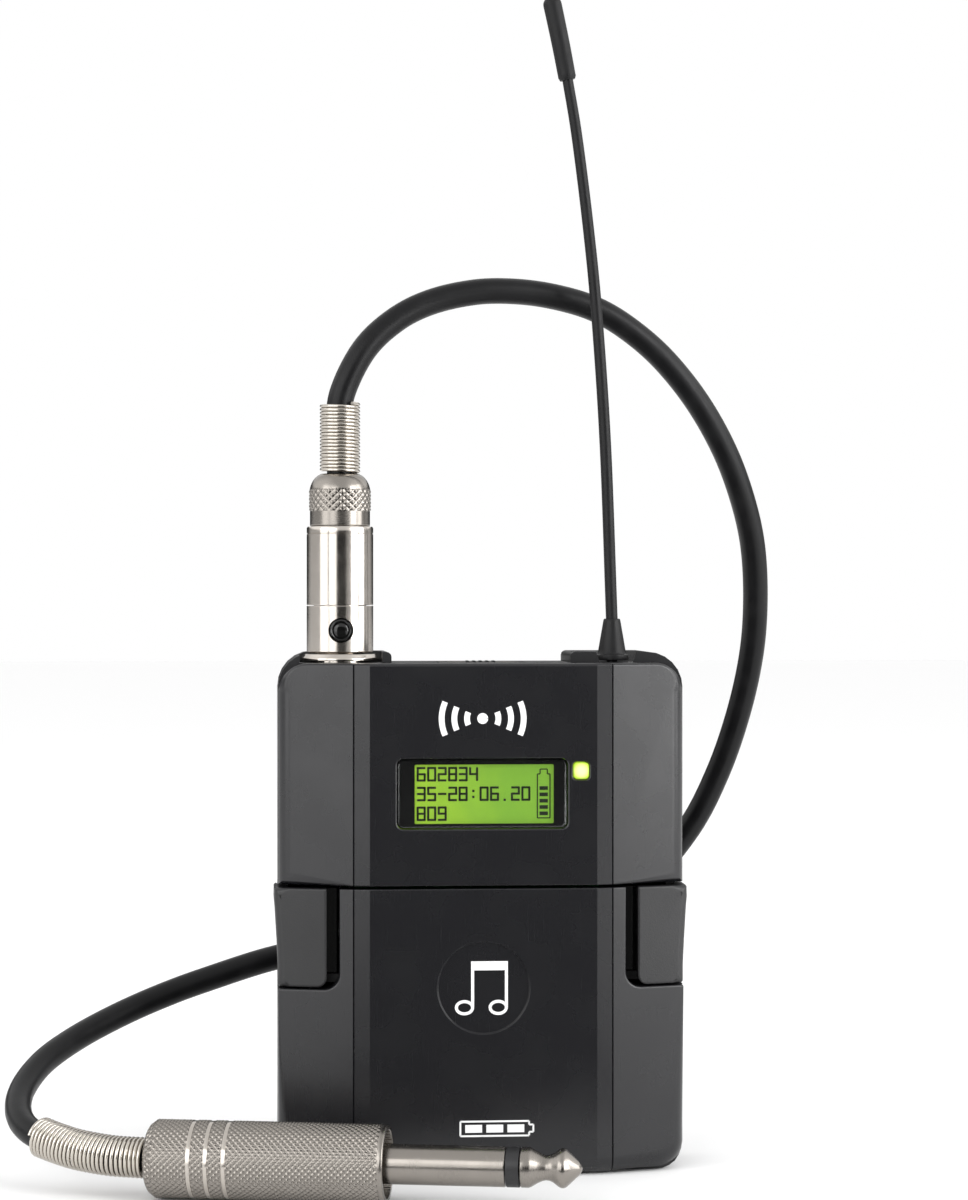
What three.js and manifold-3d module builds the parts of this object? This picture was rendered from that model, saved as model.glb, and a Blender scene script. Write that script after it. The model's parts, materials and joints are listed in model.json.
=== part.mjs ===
// Wireless guitar transmitter: a belt-worn body pack with a whip antenna, and the short guitar lead
// that plugs into it. Millimetres, +Z up, the display faces -Y and +X is to the viewer's right.
// The origin is under the middle of the case, on the surface that the case stands on.
import * as THREE from "three";
import { mergeVertices } from "three/addons/utils/BufferGeometryUtils.js";
import Module from "manifold-3d";

const wasm = await Module();
wasm.setup();

// ---- Driving dimensions ----------------------------------------------------------------------

const GAP = 0.3; // clearance between pieces that touch
const HALF_WIDTH = 33.9;
const FRONT = -11; // the raised centre panel
const REAR = 11;
const DECK = 85; // the flat top between the shoulders
const SHOULDER = 86.8;
const SHOULDER_X = 15; // where each shoulder rises from the deck
const WALL = 1.7;

const PANEL_HALF = 18.85; // half the width of the centre panel
const GROOVE_X = 21.5; // the groove between bevel and flank
const GROOVE = 0.5;
const BEVEL_DROP = 0.5;
const FLANK_ANGLE = THREE.MathUtils.degToRad(16);
const FRONT_CORNER = 2.6; // from flank to side
const REAR_CORNER = 4;

const PARTING = -5.4; // the covers meet the rear shell in this plane
const SEAM = 48; // the door's top edge
const SEAM_GAP = 0.5;

const HINGE = { y: -8, z: 3.2, barrel: 3, pin: 0.7, lug: 1.8 };

const TAB = { inner: 25.9, bottom: 31.4, back: 3, corner: 1.6, wall: 1.9, flare: 0.7 };
const SLOT_INNER = 23.8; // the door's edge beside each tab

const WINDOW = { x: -0.2, z: 63.45, width: 28.4, height: 11.7 };
const LED = { x: 16.2, z: 67.2, width: 2.5, height: 2.7 };
const DISC = { z: 31.4, radius: 7.6, depth: 0.35 };

const TOP_Y = 1; // the socket, the switch and the antenna stand in one line
const SOCKET_X = -23.4;
const ANTENNA_X = 22.7;
const SWITCH_X = 0.3;

const BOARD_Y = 4; // front face of the main board
const KEY_PANEL_HALF = 19.8;
const LATCH_SPRING = [-0.6, 40]; // the y and z of both springs' axis
const CELL = { radius: 7.1, length: 50.5, nub: 1, y: 0.9, lower: 9.8, upper: 24.4 };
const KEY_Z = 40.8;
const KEY_SPACING = 11;

const CLIP = { half: 8, pivotY: 14.2, pivotZ: 72, pin: 0.9, thickness: 1, springRoom: 3.4 };

// ---- Shapes ----------------------------------------------------------------------------------

function solidOf(geometry) {
  const bare = geometry.index ? geometry.toNonIndexed() : geometry;
  bare.deleteAttribute("normal");
  bare.deleteAttribute("uv");
  const merged = mergeVertices(bare, 1e-4);
  const vertProperties = merged.attributes.position.array;
  const triVerts = new Uint32Array(merged.index.array);
  return new wasm.Manifold(new wasm.Mesh({ numProp: 3, vertProperties, triVerts }));
}

function geometryOf(solid) {
  const mesh = solid.getMesh();
  const geometry = new THREE.BufferGeometry();
  geometry.setAttribute("position", new THREE.BufferAttribute(mesh.vertProperties, mesh.numProp));
  geometry.setIndex(new THREE.BufferAttribute(mesh.triVerts, 1));
  geometry.computeVertexNormals();
  return geometry;
}

function join(first, ...others) {
  return others.reduce((whole, other) => whole.add(other), first);
}

function cut(first, ...tools) {
  return tools.reduce((whole, tool) => whole.subtract(tool), first);
}

function box([x0, x1], [y0, y1], [z0, z1]) {
  const geometry = new THREE.BoxGeometry(x1 - x0, y1 - y0, z1 - z0);
  geometry.translate((x0 + x1) / 2, (y0 + y1) / 2, (z0 + z1) / 2);
  return solidOf(geometry);
}

function shapeOf(points) {
  return new THREE.Shape(points.map(([a, b]) => new THREE.Vector2(a, b)));
}

function extruded(points, depth) {
  return new THREE.ExtrudeGeometry(shapeOf(points), { depth, bevelEnabled: false });
}

// An outline drawn in X and Y, standing from z0 to z1.
function prismZ(points, z0, z1) {
  return solidOf(extruded(points, z1 - z0).translate(0, 0, z0));
}

// An outline drawn in X and Z, running from y0 to y1.
function prismY(points, y0, y1) {
  return solidOf(extruded(points, y1 - y0).rotateX(Math.PI / 2).translate(0, y1, 0));
}

// An outline drawn in Y and Z, running from x0 to x1.
function prismX(points, x0, x1) {
  const axes = [new THREE.Vector3(0, 1, 0), new THREE.Vector3(0, 0, 1), new THREE.Vector3(1, 0, 0)];
  const turn = new THREE.Matrix4().makeBasis(...axes);
  return solidOf(extruded(points, x1 - x0).applyMatrix4(turn).translate(x0, 0, 0));
}

// Profiles are [radius, height] pairs. They start and end on the axis, or close on themselves.
function lathe(profile, segments) {
  return new THREE.LatheGeometry(profile.map(([r, h]) => new THREE.Vector2(r, h)), segments);
}

function turnedX(profile, [y, z], segments = 24) {
  return solidOf(lathe(profile, segments).rotateZ(-Math.PI / 2).translate(0, y, z));
}

function turnedY(profile, [x, z], segments = 24) {
  return solidOf(lathe(profile, segments).translate(x, 0, z));
}

function turnedZ(profile, [x, y], segments = 24) {
  return solidOf(lathe(profile, segments).rotateX(Math.PI / 2).translate(x, y, 0));
}

function rod(radius, from, to) {
  return [[0, from], [radius, from], [radius, to], [0, to]];
}

function tube(inner, outer, from, to) {
  return [[inner, from], [outer, from], [outer, to], [inner, to], [inner, from]];
}

function arc([cx, cy], radius, from, to, steps = 6) {
  return Array.from({ length: steps + 1 }, (_, i) => {
    const angle = from + ((to - from) * i) / steps;
    return [cx + radius * Math.cos(angle), cy + radius * Math.sin(angle)];
  });
}

function roundedRect([cx, cy], width, height, radius, steps = 4) {
  const [dx, dy] = [width / 2 - radius, height / 2 - radius];
  const corners = [[dx, dy], [-dx, dy], [-dx, -dy], [dx, -dy]];
  return corners.flatMap(([x, y], i) =>
    arc([cx + x, cy + y], radius, (i * Math.PI) / 2, ((i + 1) * Math.PI) / 2, steps),
  );
}

// The right-hand half of an outline, followed by its mirror image.
function mirrored(right) {
  return [...right, ...right.map(([a, b]) => [-a, b]).reverse()];
}

// A strip of even thickness that follows a line of points.
function strip(line, thickness) {
  const sides = [1, -1].map((side) =>
    line.map(([a, b], i) => {
      const [a0, b0] = line[Math.max(i - 1, 0)];
      const [a1, b1] = line[Math.min(i + 1, line.length - 1)];
      const length = Math.hypot(a1 - a0, b1 - b0);
      const offset = (side * thickness) / 2 / length;
      return [a + (b1 - b0) * offset, b - (a1 - a0) * offset];
    }),
  );
  return [...sides[0], ...sides[1].reverse()];
}

// A rod of round section along a smooth curve through the points.
function roundAlong(points, radius, sides, steps) {
  const curve = new THREE.CatmullRomCurve3(points.map((p) => new THREE.Vector3(...p)));
  const section = shapeOf(arc([0, 0], radius, 0, 2 * Math.PI, sides).slice(0, sides));
  return solidOf(new THREE.ExtrudeGeometry(section, { steps, extrudePath: curve }));
}

// A wire spring wound along X about the given Y and Z, from the first radius to the second.
function coil([x0, x1], [y, z], [r0, r1], turns) {
  const steps = 8 * turns;
  const points = Array.from({ length: steps + 1 }, (_, i) => {
    const share = i / steps;
    const angle = share * turns * 2 * Math.PI;
    const radius = r0 + (r1 - r0) * share;
    return [x0 + (x1 - x0) * share, y + radius * Math.cos(angle), z + radius * Math.sin(angle)];
  });
  return roundAlong(points, 0.25, 5, steps);
}

function addPiece(parent, name, solid, look) {
  const mesh = new THREE.Mesh(geometryOf(solid), new THREE.MeshStandardMaterial(look));
  mesh.name = name;
  parent.add(mesh);
  return mesh;
}

// ---- Finishes --------------------------------------------------------------------------------

const charcoal = { color: 0x2e2e31, roughness: 0.42, metalness: 0.1 };
const darkPlastic = { color: 0x18181a, roughness: 0.6, metalness: 0 };
const rubber = { color: 0x101011, roughness: 0.75, metalness: 0 };
const nickel = { color: 0xc9c3b8, roughness: 0.25, metalness: 1 };
const steel = { color: 0x9a9a9e, roughness: 0.35, metalness: 1 };
const gold = { color: 0xc9a24a, roughness: 0.3, metalness: 1 };
const circuit = { color: 0x1f5a34, roughness: 0.55, metalness: 0 };
const clear = { color: 0x222420, roughness: 0.08, metalness: 0 };
const display = { color: 0x8fbf2f, roughness: 0.3, metalness: 0 };
const lamp = { color: 0xb8e03a, roughness: 0.2, metalness: 0 };
const cellWrap = { color: 0x35506e, roughness: 0.35, metalness: 0.4 };

const transmitter = new THREE.Group();

// ---- Case ------------------------------------------------------------------------------------

// The case in plan: a flat centre panel, a bevel and a groove, a sloping flank, then the side.
function sectionOutline(inset) {
  const half = HALF_WIDTH - inset;
  const front = FRONT + inset;
  const corner = FRONT_CORNER - inset / 2;
  const rearCorner = REAR_CORNER - inset;
  const flank = (x) => front + BEVEL_DROP + (x - GROOVE_X) * Math.tan(FLANK_ANGLE);
  const start = FLANK_ANGLE - Math.PI / 2;
  const cornerX = half - corner;
  const cornerY = flank(cornerX + corner * Math.cos(start)) - corner * Math.sin(start);
  const grooveDepth = inset ? 0 : GROOVE;
  return mirrored([
    [PANEL_HALF, front],
    [GROOVE_X - GROOVE / 2, front + BEVEL_DROP],
    [GROOVE_X, front + BEVEL_DROP + grooveDepth],
    [GROOVE_X + GROOVE / 2, flank(GROOVE_X + GROOVE / 2)],
    ...arc([cornerX, cornerY], corner, start, 0),
    ...arc([half - rearCorner, REAR - inset - rearCorner], rearCorner, 0, Math.PI / 2),
  ]);
}

// The case from the front, with its own corner radius at the top and at the bottom.
function frontOutline(inset, top, topCorner, bottomCorner) {
  const half = HALF_WIDTH - inset;
  const [r, s] = [topCorner - inset, bottomCorner - inset];
  return mirrored([
    ...arc([half - s, inset + s], s, -Math.PI / 2, 0),
    ...arc([half - r, top - inset - r], r, 0, Math.PI / 2),
  ]);
}

// Two lugs of the rear shell reach forward to the hinge pin.
const LUG = { from: 12.4, to: 15.9, back: -3.7, top: 3.8 };

const COVER_CORNERS = [5, 4.5];
const SHELL_CORNERS = [6, 4.5];

function caseBlock(inset, top, corners) {
  const plan = prismZ(sectionOutline(inset), inset, top - inset);
  return plan.intersect(prismY(frontOutline(inset, top, ...corners), FRONT, REAR));
}

// The door turns about its bottom edge, which is round about the hinge pin.
function hingeDisc(radius, from, to) {
  return turnedX(rod(radius, from, to), [HINGE.y, HINGE.z], 24);
}

// Each case screw comes in from the back and bites in a boss on the upper cover.
const SCREWS = [-1, 1].flatMap((side) => [
  { x: side * 12.5, z: 79.6, boss: -9.8, tip: -8 },
  { x: side * 28, z: 53.6, boss: -7.4, tip: -6.4 },
]);
const SCREW_HOLE = 1.4;

function screwBoss({ x, z }, from, to) {
  return turnedY(rod(2.4, from, to), [x, z], 12);
}

function upperCover() {
  const zone = box([-40, 40], [FRONT - 1, PARTING - GAP / 2], [SEAM + SEAM_GAP / 2, DECK + 1]);
  const hollow = box([-40, 40], [FRONT, REAR], [SEAM + 2, DECK]);
  const shell = cut(
    caseBlock(0, DECK, COVER_CORNERS).intersect(zone),
    caseBlock(WALL, DECK, COVER_CORNERS).intersect(hollow),
    prismY(roundedRect([WINDOW.x, WINDOW.z], WINDOW.width, WINDOW.height, 1.1), FRONT - 1, 0),
    prismY(roundedRect([LED.x, LED.z], LED.width + GAP, LED.height + GAP, 0.7), FRONT - 1, 0),
  );
  const bosses = SCREWS.map((screw) => screwBoss(screw, screw.boss, PARTING - GAP / 2));
  const holes = SCREWS.map(({ x, z, tip }) => turnedY(rod(SCREW_HOLE, tip - GAP, 0), [x, z], 12));
  return cut(join(shell, ...bosses), ...holes);
}

function batteryDoor() {
  const top = SEAM - SEAM_GAP / 2;
  const tall = box([-40, 40], [FRONT - 1, PARTING - GAP / 2], [HINGE.z, top]);
  const block = caseBlock(0, DECK, COVER_CORNERS);
  const outer = join(block.intersect(tall), block.intersect(hingeDisc(HINGE.barrel, -40, 40)));
  const innerHalf = HALF_WIDTH - WALL;
  const hollow = caseBlock(WALL, DECK, COVER_CORNERS).intersect(box([-40, 40], [FRONT, 0], [HINGE.z, SEAM]));
  const lugRoom = hingeDisc(HINGE.barrel - 0.9, -innerHalf, innerHalf);
  const tabRooms = [1, -1].map((side) =>
    prismY(tabOutline(side, SLOT_INNER, TAB.bottom - GAP, SEAM + 1, 2.6), FRONT - 1, 0),
  );
  const disc = turnedY(rod(DISC.radius, FRONT - 1, FRONT + DISC.depth), [0, DISC.z], 32);
  const ears = [1, -1].map((side) => hingeDisc(HINGE.barrel - 0.5, ...ordered(side * 16.2, side * 18.4)));
  const catches = [1, -1].map((side) =>
    box(ordered(side * 20.9, side * 22.1), [FRONT + 1.4, -3.4], [43.2, 45.6]),
  );
  const bore = hingeDisc(HINGE.pin + GAP, -19, 19);
  const lugSlots = [1, -1].map((side) =>
    box(ordered(side * (LUG.from - GAP), side * (LUG.to + GAP)), [HINGE.y - 0.4, 0], [-1, HINGE.z + 3]),
  );
  const shell = cut(outer, hollow, lugRoom);
  return cut(join(shell, ...ears, ...catches), bore, disc, ...tabRooms, ...lugSlots);
}

function ordered(a, b) {
  return a < b ? [a, b] : [b, a];
}

// A latch tab from the front, round at its lower inner corner.
function tabOutline(side, inner, bottom, top, corner) {
  const outer = HALF_WIDTH + 2;
  const outline = [
    [outer, bottom],
    [outer, top],
    [inner, top],
    ...arc([inner + corner, bottom + corner], corner, Math.PI, 1.5 * Math.PI),
  ];
  return outline.map(([x, z]) => [side * x, z]);
}

function rearShellBlock() {
  const [corner, bottomCorner] = SHELL_CORNERS;
  const outline = mirrored([
    ...arc([HALF_WIDTH - bottomCorner, bottomCorner], bottomCorner, -Math.PI / 2, 0),
    ...arc([HALF_WIDTH - corner, SHOULDER - corner], corner, 0, Math.PI / 2),
    ...arc([SHOULDER_X + 0.8, SHOULDER - 0.8], 0.8, Math.PI / 2, Math.PI, 3),
    [SHOULDER_X, DECK],
  ]);
  const zone = box([-40, 40], [PARTING + GAP / 2, REAR + 1], [-1, SHOULDER + 1]);
  return prismZ(sectionOutline(0), 0, SHOULDER).intersect(prismY(outline, FRONT, REAR)).intersect(zone);
}

// Two ears on the back hold the belt clip's pin.
function clipEars() {
  return [1, -1].map((side) => {
    const ends = ordered(side * (CLIP.half + GAP), side * (CLIP.half + 2.3));
    const ear = [
      [REAR - 0.5, CLIP.pivotZ - 5],
      [CLIP.pivotY, CLIP.pivotZ - 2.6],
      ...arc([CLIP.pivotY, CLIP.pivotZ], 2.6, -Math.PI / 2, Math.PI / 2),
      [REAR - 0.5, CLIP.pivotZ + 5],
    ];
    return prismX(ear, ...ends);
  });
}

function rearShell() {
  const dishes = [SOCKET_X, ANTENNA_X].map((x) =>
    turnedZ([[0, DECK], [6.9, DECK], [7.3, DECK + 3], [0, DECK + 3]], [x, TOP_Y], 24),
  );
  // Round the socket the dish is open to the front, as wide as the socket's flange.
  const openDish = box([SOCKET_X - 6.9, SOCKET_X + 6.9], [FRONT, TOP_Y], [DECK, SHOULDER + 1]);
  const hollow = caseBlock(WALL, DECK, SHELL_CORNERS);
  const tabRooms = [1, -1].map((side) =>
    box(ordered(side * 31, side * 36), [-10, TAB.back + GAP], [TAB.bottom - GAP, SEAM + SEAM_GAP / 2]),
  );
  const lugs = [1, -1].map((side) => {
    const ends = ordered(side * LUG.from, side * LUG.to);
    const arm = box(ends, [HINGE.y, LUG.back], [HINGE.z - 1, LUG.top]);
    return join(hingeDisc(HINGE.lug, ...ends), arm, box(ends, [LUG.back - 1, LUG.back], [0.6, LUG.top]));
  });
  const posts = SCREWS.map((screw) => screwBoss(screw, PARTING + GAP / 2, REAR - 1));
  const screwHoles = SCREWS.map(({ x, z }) =>
    turnedY([[0, -6], [SCREW_HOLE, -6], [SCREW_HOLE, 8.9], [2.1, 8.9], [2.1, 12], [0, 12]], [x, z], 12),
  );
  const doorRoom = hingeDisc(HINGE.barrel + GAP, -40, 40);
  const shell = cut(rearShellBlock(), hollow, ...dishes, openDish, ...tabRooms, doorRoom);
  return cut(
    join(shell, ...lugs, ...posts, ...clipEars()),
    ...screwHoles,
    hingeDisc(HINGE.pin + GAP, -19, 19),
    turnedZ(rod(5.3, 70, 90), [SOCKET_X, TOP_Y]),
    turnedZ(rod(2.9, 70, 90), [ANTENNA_X, TOP_Y]),
    box([SWITCH_X - 7.4, SWITCH_X + 7.4], [TOP_Y - 2.5, TOP_Y + 2.5], [80, 90]),
    turnedX(rod(CLIP.pin + GAP, -20, 20), [CLIP.pivotY, CLIP.pivotZ], 16),
    box([-13, 13], [REAR - 0.4, REAR + 1], [6, 20]),
  );
}

function caseScrew({ x, z, tip }) {
  const profile = [[0, tip], [1.1, tip], [1.1, 9.2], [1.8, 9.2], [1.8, 10.2], [0, 10.4]];
  return turnedY(profile, [x, z], 12);
}

// ---- Latch tabs ------------------------------------------------------------------------------

// An angle piece: one leg in the flank, one round the side, flared outwards at the top.
function latchTab(side) {
  const outline = tabOutline(side, TAB.inner, TAB.bottom, SEAM - SEAM_GAP / 2, TAB.corner);
  const plan = prismY(outline, FRONT - 1, TAB.back);
  const block = caseBlock(0, DECK, COVER_CORNERS).intersect(plan);
  const hollow = caseBlock(TAB.wall, DECK, COVER_CORNERS);
  const edge = HALF_WIDTH - TAB.wall / 2;
  const flare = [
    [side * edge, TAB.bottom + 3],
    [side * (HALF_WIDTH - 0.05), TAB.bottom + 3],
    [side * (HALF_WIDTH + TAB.flare), SEAM - 2],
    [side * (HALF_WIDTH + TAB.flare), SEAM - SEAM_GAP / 2],
    [side * edge, SEAM - SEAM_GAP / 2],
  ];
  const post = turnedX(rod(1, ...ordered(side * 30.4, side * 32.6)), LATCH_SPRING, 12);
  return join(cut(block, hollow), prismY(flare, -4.2, TAB.back - 0.6), post);
}

// It presses the tab outwards, from the side of the key panel.
function latchSpring(side) {
  return coil([side * (KEY_PANEL_HALF + 0.6), side * 29.8], LATCH_SPRING, [1.6, 1.6], 5);
}

// ---- Display, lamp and electronics -----------------------------------------------------------

function displayWindow() {
  const [width, height] = [WINDOW.width - 2 * GAP, WINDOW.height - 2 * GAP];
  const pane = prismY(roundedRect([WINDOW.x, WINDOW.z], width, height, 0.9), FRONT + 0.35, -8.6);
  const rim = box([-15.2, 14.6], [-9, -8.3], [WINDOW.z - 6.9, WINDOW.z + 6.9]);
  return join(pane, rim);
}

function ledLens() {
  const lens = prismY(roundedRect([LED.x, LED.z], LED.width, LED.height, 0.6), FRONT - 0.1, -7);
  return join(lens, turnedY(rod(1, -7, 3.6), [LED.x, LED.z], 12));
}

function mainBoard() {
  const outline = [
    [21, 34], [21, 49.5], [25.2, 49.5], [25.2, 66], [16.8, 66], [16.8, 76.4], [9.6, 76.4], [9.6, 83],
  ];
  return prismY(mirrored(outline), BOARD_Y, BOARD_Y + 1.6);
}

function displayCarrier() {
  const frame = box([-15.2, 14.6], [-4.4, BOARD_Y - GAP], [56.6, 70.2]);
  return cut(frame, box([-13.4, 12.8], [-3, 10], [58.2, 68.6]));
}

function switchBody() {
  const body = box([SWITCH_X - 6.6, SWITCH_X + 6.6], [TOP_Y - 2.6, BOARD_Y - GAP], [76, 82.4]);
  return cut(body, box([SWITCH_X - 4.6, SWITCH_X + 4.6], [TOP_Y - 1, TOP_Y + 1], [79.4, 84]));
}

function switchPlate() {
  const plate = box([SWITCH_X - 7.1, SWITCH_X + 7.1], [TOP_Y - 2.2, TOP_Y + 2.2], [84.2, DECK]);
  return cut(plate, box([SWITCH_X - 5.4, SWITCH_X + 5.4], [TOP_Y - 1.5, TOP_Y + 1.5], [80, 86]));
}

// The knob slides in the plate's slot. It has a row of low grip teeth, and a stem down into the switch.
function switchKnob() {
  const stem = box([SWITCH_X - 1.2, SWITCH_X + 1.2], [TOP_Y - 0.7, TOP_Y + 0.7], [79.8, 83.2]);
  const head = box([SWITCH_X - 2.6, SWITCH_X + 2.6], [TOP_Y - 1.2, TOP_Y + 1.2], [83, 84.9]);
  const teeth = [-2, -1, 0, 1, 2].map((i) => {
    const x = SWITCH_X + i * 1.1;
    const tooth = [[x - 0.4, 84.8], [x + 0.4, 84.8], [x + 0.2, 85.25], [x - 0.2, 85.25]];
    return prismY(tooth, TOP_Y - 1.2, TOP_Y + 1.2);
  });
  return join(stem, head, ...teeth);
}

function keyStrip() {
  const base = box([-14, 14], [2.6, BOARD_Y - GAP], [KEY_Z - 3, KEY_Z + 3]);
  const domes = [-1, 0, 1].map((i) => turnedY(rod(1.2, 0.4, 3), [i * KEY_SPACING, KEY_Z], 12));
  return join(base, ...domes);
}

function menuKey(x) {
  const profile = [
    [0, -6.6], [1.9, -6.6], [1.9, -4.6], [2.7, -4.6], [2.7, -3.8], [1.3, -3.8], [1.3, -0.4], [0, -0.4],
  ];
  return turnedY(profile, [x, KEY_Z], 20);
}

function keyPanel() {
  const panel = box([-KEY_PANEL_HALF, KEY_PANEL_HALF], [-6, -5], [34.4, 47.2]);
  const legs = [1, -1].map((side) =>
    box(ordered(side * 17.6, side * KEY_PANEL_HALF), [-5.2, BOARD_Y - GAP], [35, 46.8]),
  );
  const holes = [-1, 0, 1].map((i) => turnedY(rod(2.2, -10, 0), [i * KEY_SPACING, KEY_Z], 20));
  return cut(join(panel, ...legs), ...holes);
}

// ---- Batteries -------------------------------------------------------------------------------

const TRAY = { half: 29.6, inner: 28.6, back: 8.9, front: -4.8, bottom: 2.1, top: 33.2 };

function batteryTray() {
  const block = box([-TRAY.half, TRAY.half], [TRAY.front, TRAY.back], [TRAY.bottom, TRAY.top]);
  const troughs = [CELL.lower, CELL.upper].flatMap((z) => [
    turnedX(rod(CELL.radius + GAP, -TRAY.inner, TRAY.inner), [CELL.y, z], 32),
    box([-TRAY.inner, TRAY.inner], [-10, CELL.y], [z - CELL.radius - GAP, z + CELL.radius + GAP]),
  ]);
  const lugRoom = box([-24, 24], [-10, -2.6], [0, 5.2]);
  return cut(block, ...troughs, lugRoom);
}

// A cell lies along X, with its raised contact towards the given side.
function batteryCell(side, z) {
  const end = CELL.length / 2;
  const profile = [
    [0, -end], [6.4, -end], [CELL.radius, -end + 0.7], [CELL.radius, end - CELL.nub - 0.7],
    [6.4, end - CELL.nub], [2.7, end - CELL.nub], [2.7, end], [0, end],
  ];
  const turned = side > 0 ? profile : profile.map(([r, h]) => [r, -h]).reverse();
  return turnedX(turned, [CELL.y, z], 24);
}

// A conical contact spring that narrows towards the cell.
function batterySpring(side, z) {
  const start = TRAY.inner - 0.7;
  return coil([side * start, side * (start - 2.2)], [CELL.y, z], [4.4, 2.6], 3);
}

function contactPlate(side, z) {
  const end = side * (CELL.length / 2 + GAP);
  return box(ordered(end, end + side * 0.5), [CELL.y - 4, CELL.y + 4], [z - 4, z + 4]);
}

// ---- Socket and antenna ----------------------------------------------------------------------

const FLANGE_TOP = 86.4;

function socketShell() {
  const bottom = 71.5;
  const profile = [
    [4.5, bottom], [5, bottom], [5, DECK + GAP], [6.45, DECK + GAP], [6.45, DECK + 0.8],
    [6.1, FLANGE_TOP], [4.5, FLANGE_TOP], [4.5, bottom],
  ];
  return turnedZ(profile, [0, 0], 24);
}

const PIN_PLACES = [90, 210, 330].map((degrees) => {
  const angle = THREE.MathUtils.degToRad(degrees);
  return [2 * Math.cos(angle), 2 * Math.sin(angle)];
});

function socketInsert() {
  const disc = turnedZ(rod(4.2, 71.5, 74), [0, 0], 20);
  return cut(disc, ...PIN_PLACES.map((place) => turnedZ(rod(0.75, 70, 76), place, 8)));
}

function antennaBoot() {
  const profile = [
    [1.3, DECK + GAP], [2.85, DECK + GAP], [2.6, DECK + 1.4], [1.4, 92.3], [1.3, 92.3], [1.3, DECK + GAP],
  ];
  return turnedZ(profile, [ANTENNA_X, TOP_Y], 24);
}

function antennaFerrule() {
  return turnedZ([[0, 74], [2.6, 74], [2.6, 84.8], [0.9, 84.8], [0.9, 92], [0, 92]], [ANTENNA_X, TOP_Y], 16);
}

// The whip leans over more and more towards its tip, as flexible whips do.
const WHIP_LINE = [
  [22.9, TOP_Y, 92.6], [21.6, TOP_Y, 121.6], [20.1, TOP_Y, 144.2],
  [18.6, TOP_Y, 159.3], [16.7, TOP_Y, 174.3], [15.2, TOP_Y, 183.3],
];
const SLEEVE_LINE = [[15.15, TOP_Y, 183.6], [14, TOP_Y, 189.6], [12.6, TOP_Y, 196.2]];

function tipSleeve() {
  const body = roundAlong(SLEEVE_LINE, 1.6, 12, 6);
  const [x, y, z] = SLEEVE_LINE.at(-1);
  return join(body, solidOf(new THREE.SphereGeometry(1.6, 12, 8).translate(x, y, z)));
}

// ---- Belt clip -------------------------------------------------------------------------------

// A spring-steel clip: a curl round its pin, open in the middle for the torsion spring, then a blade
// that comes back to the case and flares out.
function beltClip() {
  const { pivotY: y, pivotZ: z, thickness, springRoom } = CLIP;
  const blade = [
    [y + 1.7, z - 1], [y + 2.6, z - 6], [y + 2.8, z - 26], [y + 1, z - 38], [y - 1.6, z - 45],
    [y + 0.8, z - 50],
  ];
  const curl = turnedX(rod(2.2, -CLIP.half, CLIP.half), [y, z], 20);
  const bore = turnedX(rod(CLIP.pin + GAP, -CLIP.half - 1, CLIP.half + 1), [y, z], 16);
  const room = turnedX(rod(2.3, -springRoom, springRoom), [y, z], 20);
  return cut(join(curl, prismX(strip(blade, thickness), -CLIP.half, CLIP.half)), bore, room);
}

function clipPin() {
  return turnedX(rod(CLIP.pin, -CLIP.half - 2.2, CLIP.half + 2.2), [CLIP.pivotY, CLIP.pivotZ], 12);
}

function clipSpring() {
  const end = CLIP.springRoom - 0.5;
  return coil([-end, end], [CLIP.pivotY, CLIP.pivotZ], [1.6, 1.6], 5);
}

// ---- Guitar lead -----------------------------------------------------------------------------

const PLUG_LATCH_Z = 90.4;

function plugFrontBarrel() {
  const profile = [
    [3.6, 77.6], [4.1, 77.6], [4.1, 86.4], [4.1, 86.7], [5.6, 86.7], [5.6, 94.4],
    [4.5, 94.4], [4.5, 87.7], [3.6, 86.6], [3.6, 77.6],
  ];
  const hole = turnedY(rod(2.15, -8, -3), [0, PLUG_LATCH_Z], 20);
  return cut(turnedZ(profile, [0, 0], 24), hole);
}

function plugLatchButton() {
  return turnedY([[0, -5.9], [1.5, -5.9], [1.85, -5.6], [1.85, -4.1], [0, -4.1]], [0, PLUG_LATCH_Z], 20);
}

function plugInsert() {
  const sockets = PIN_PLACES.map((place) => turnedZ(rod(0.85, 77, 83), place, 8));
  return cut(turnedZ(rod(3.2, 77.8, 96), [0, 0], 20), ...sockets);
}

function plugSleeve() {
  const [from, to] = [94.7, 107.8];
  const profile = [[4.4, from], [5.6, from], [5.6, to - 0.4], [5.3, to], [4.4, to], [4.4, from]];
  return turnedZ(profile, [0, 0], 24);
}

function plugBackCap() {
  const from = 108.1;
  const profile = [
    [2.6, from], [5, from], [5.2, from + 0.3], [5.2, 113.8], [4.9, 115.2], [4.1, 116.2], [3.4, 116.7],
    [2.6, 116.7], [2.6, from],
  ];
  return turnedZ(profile, [0, 0], 24);
}

function plugSpring() {
  return turnedZ(tube(2.5, 3.4, 117, 128.8), [0, 0], 20);
}

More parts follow.
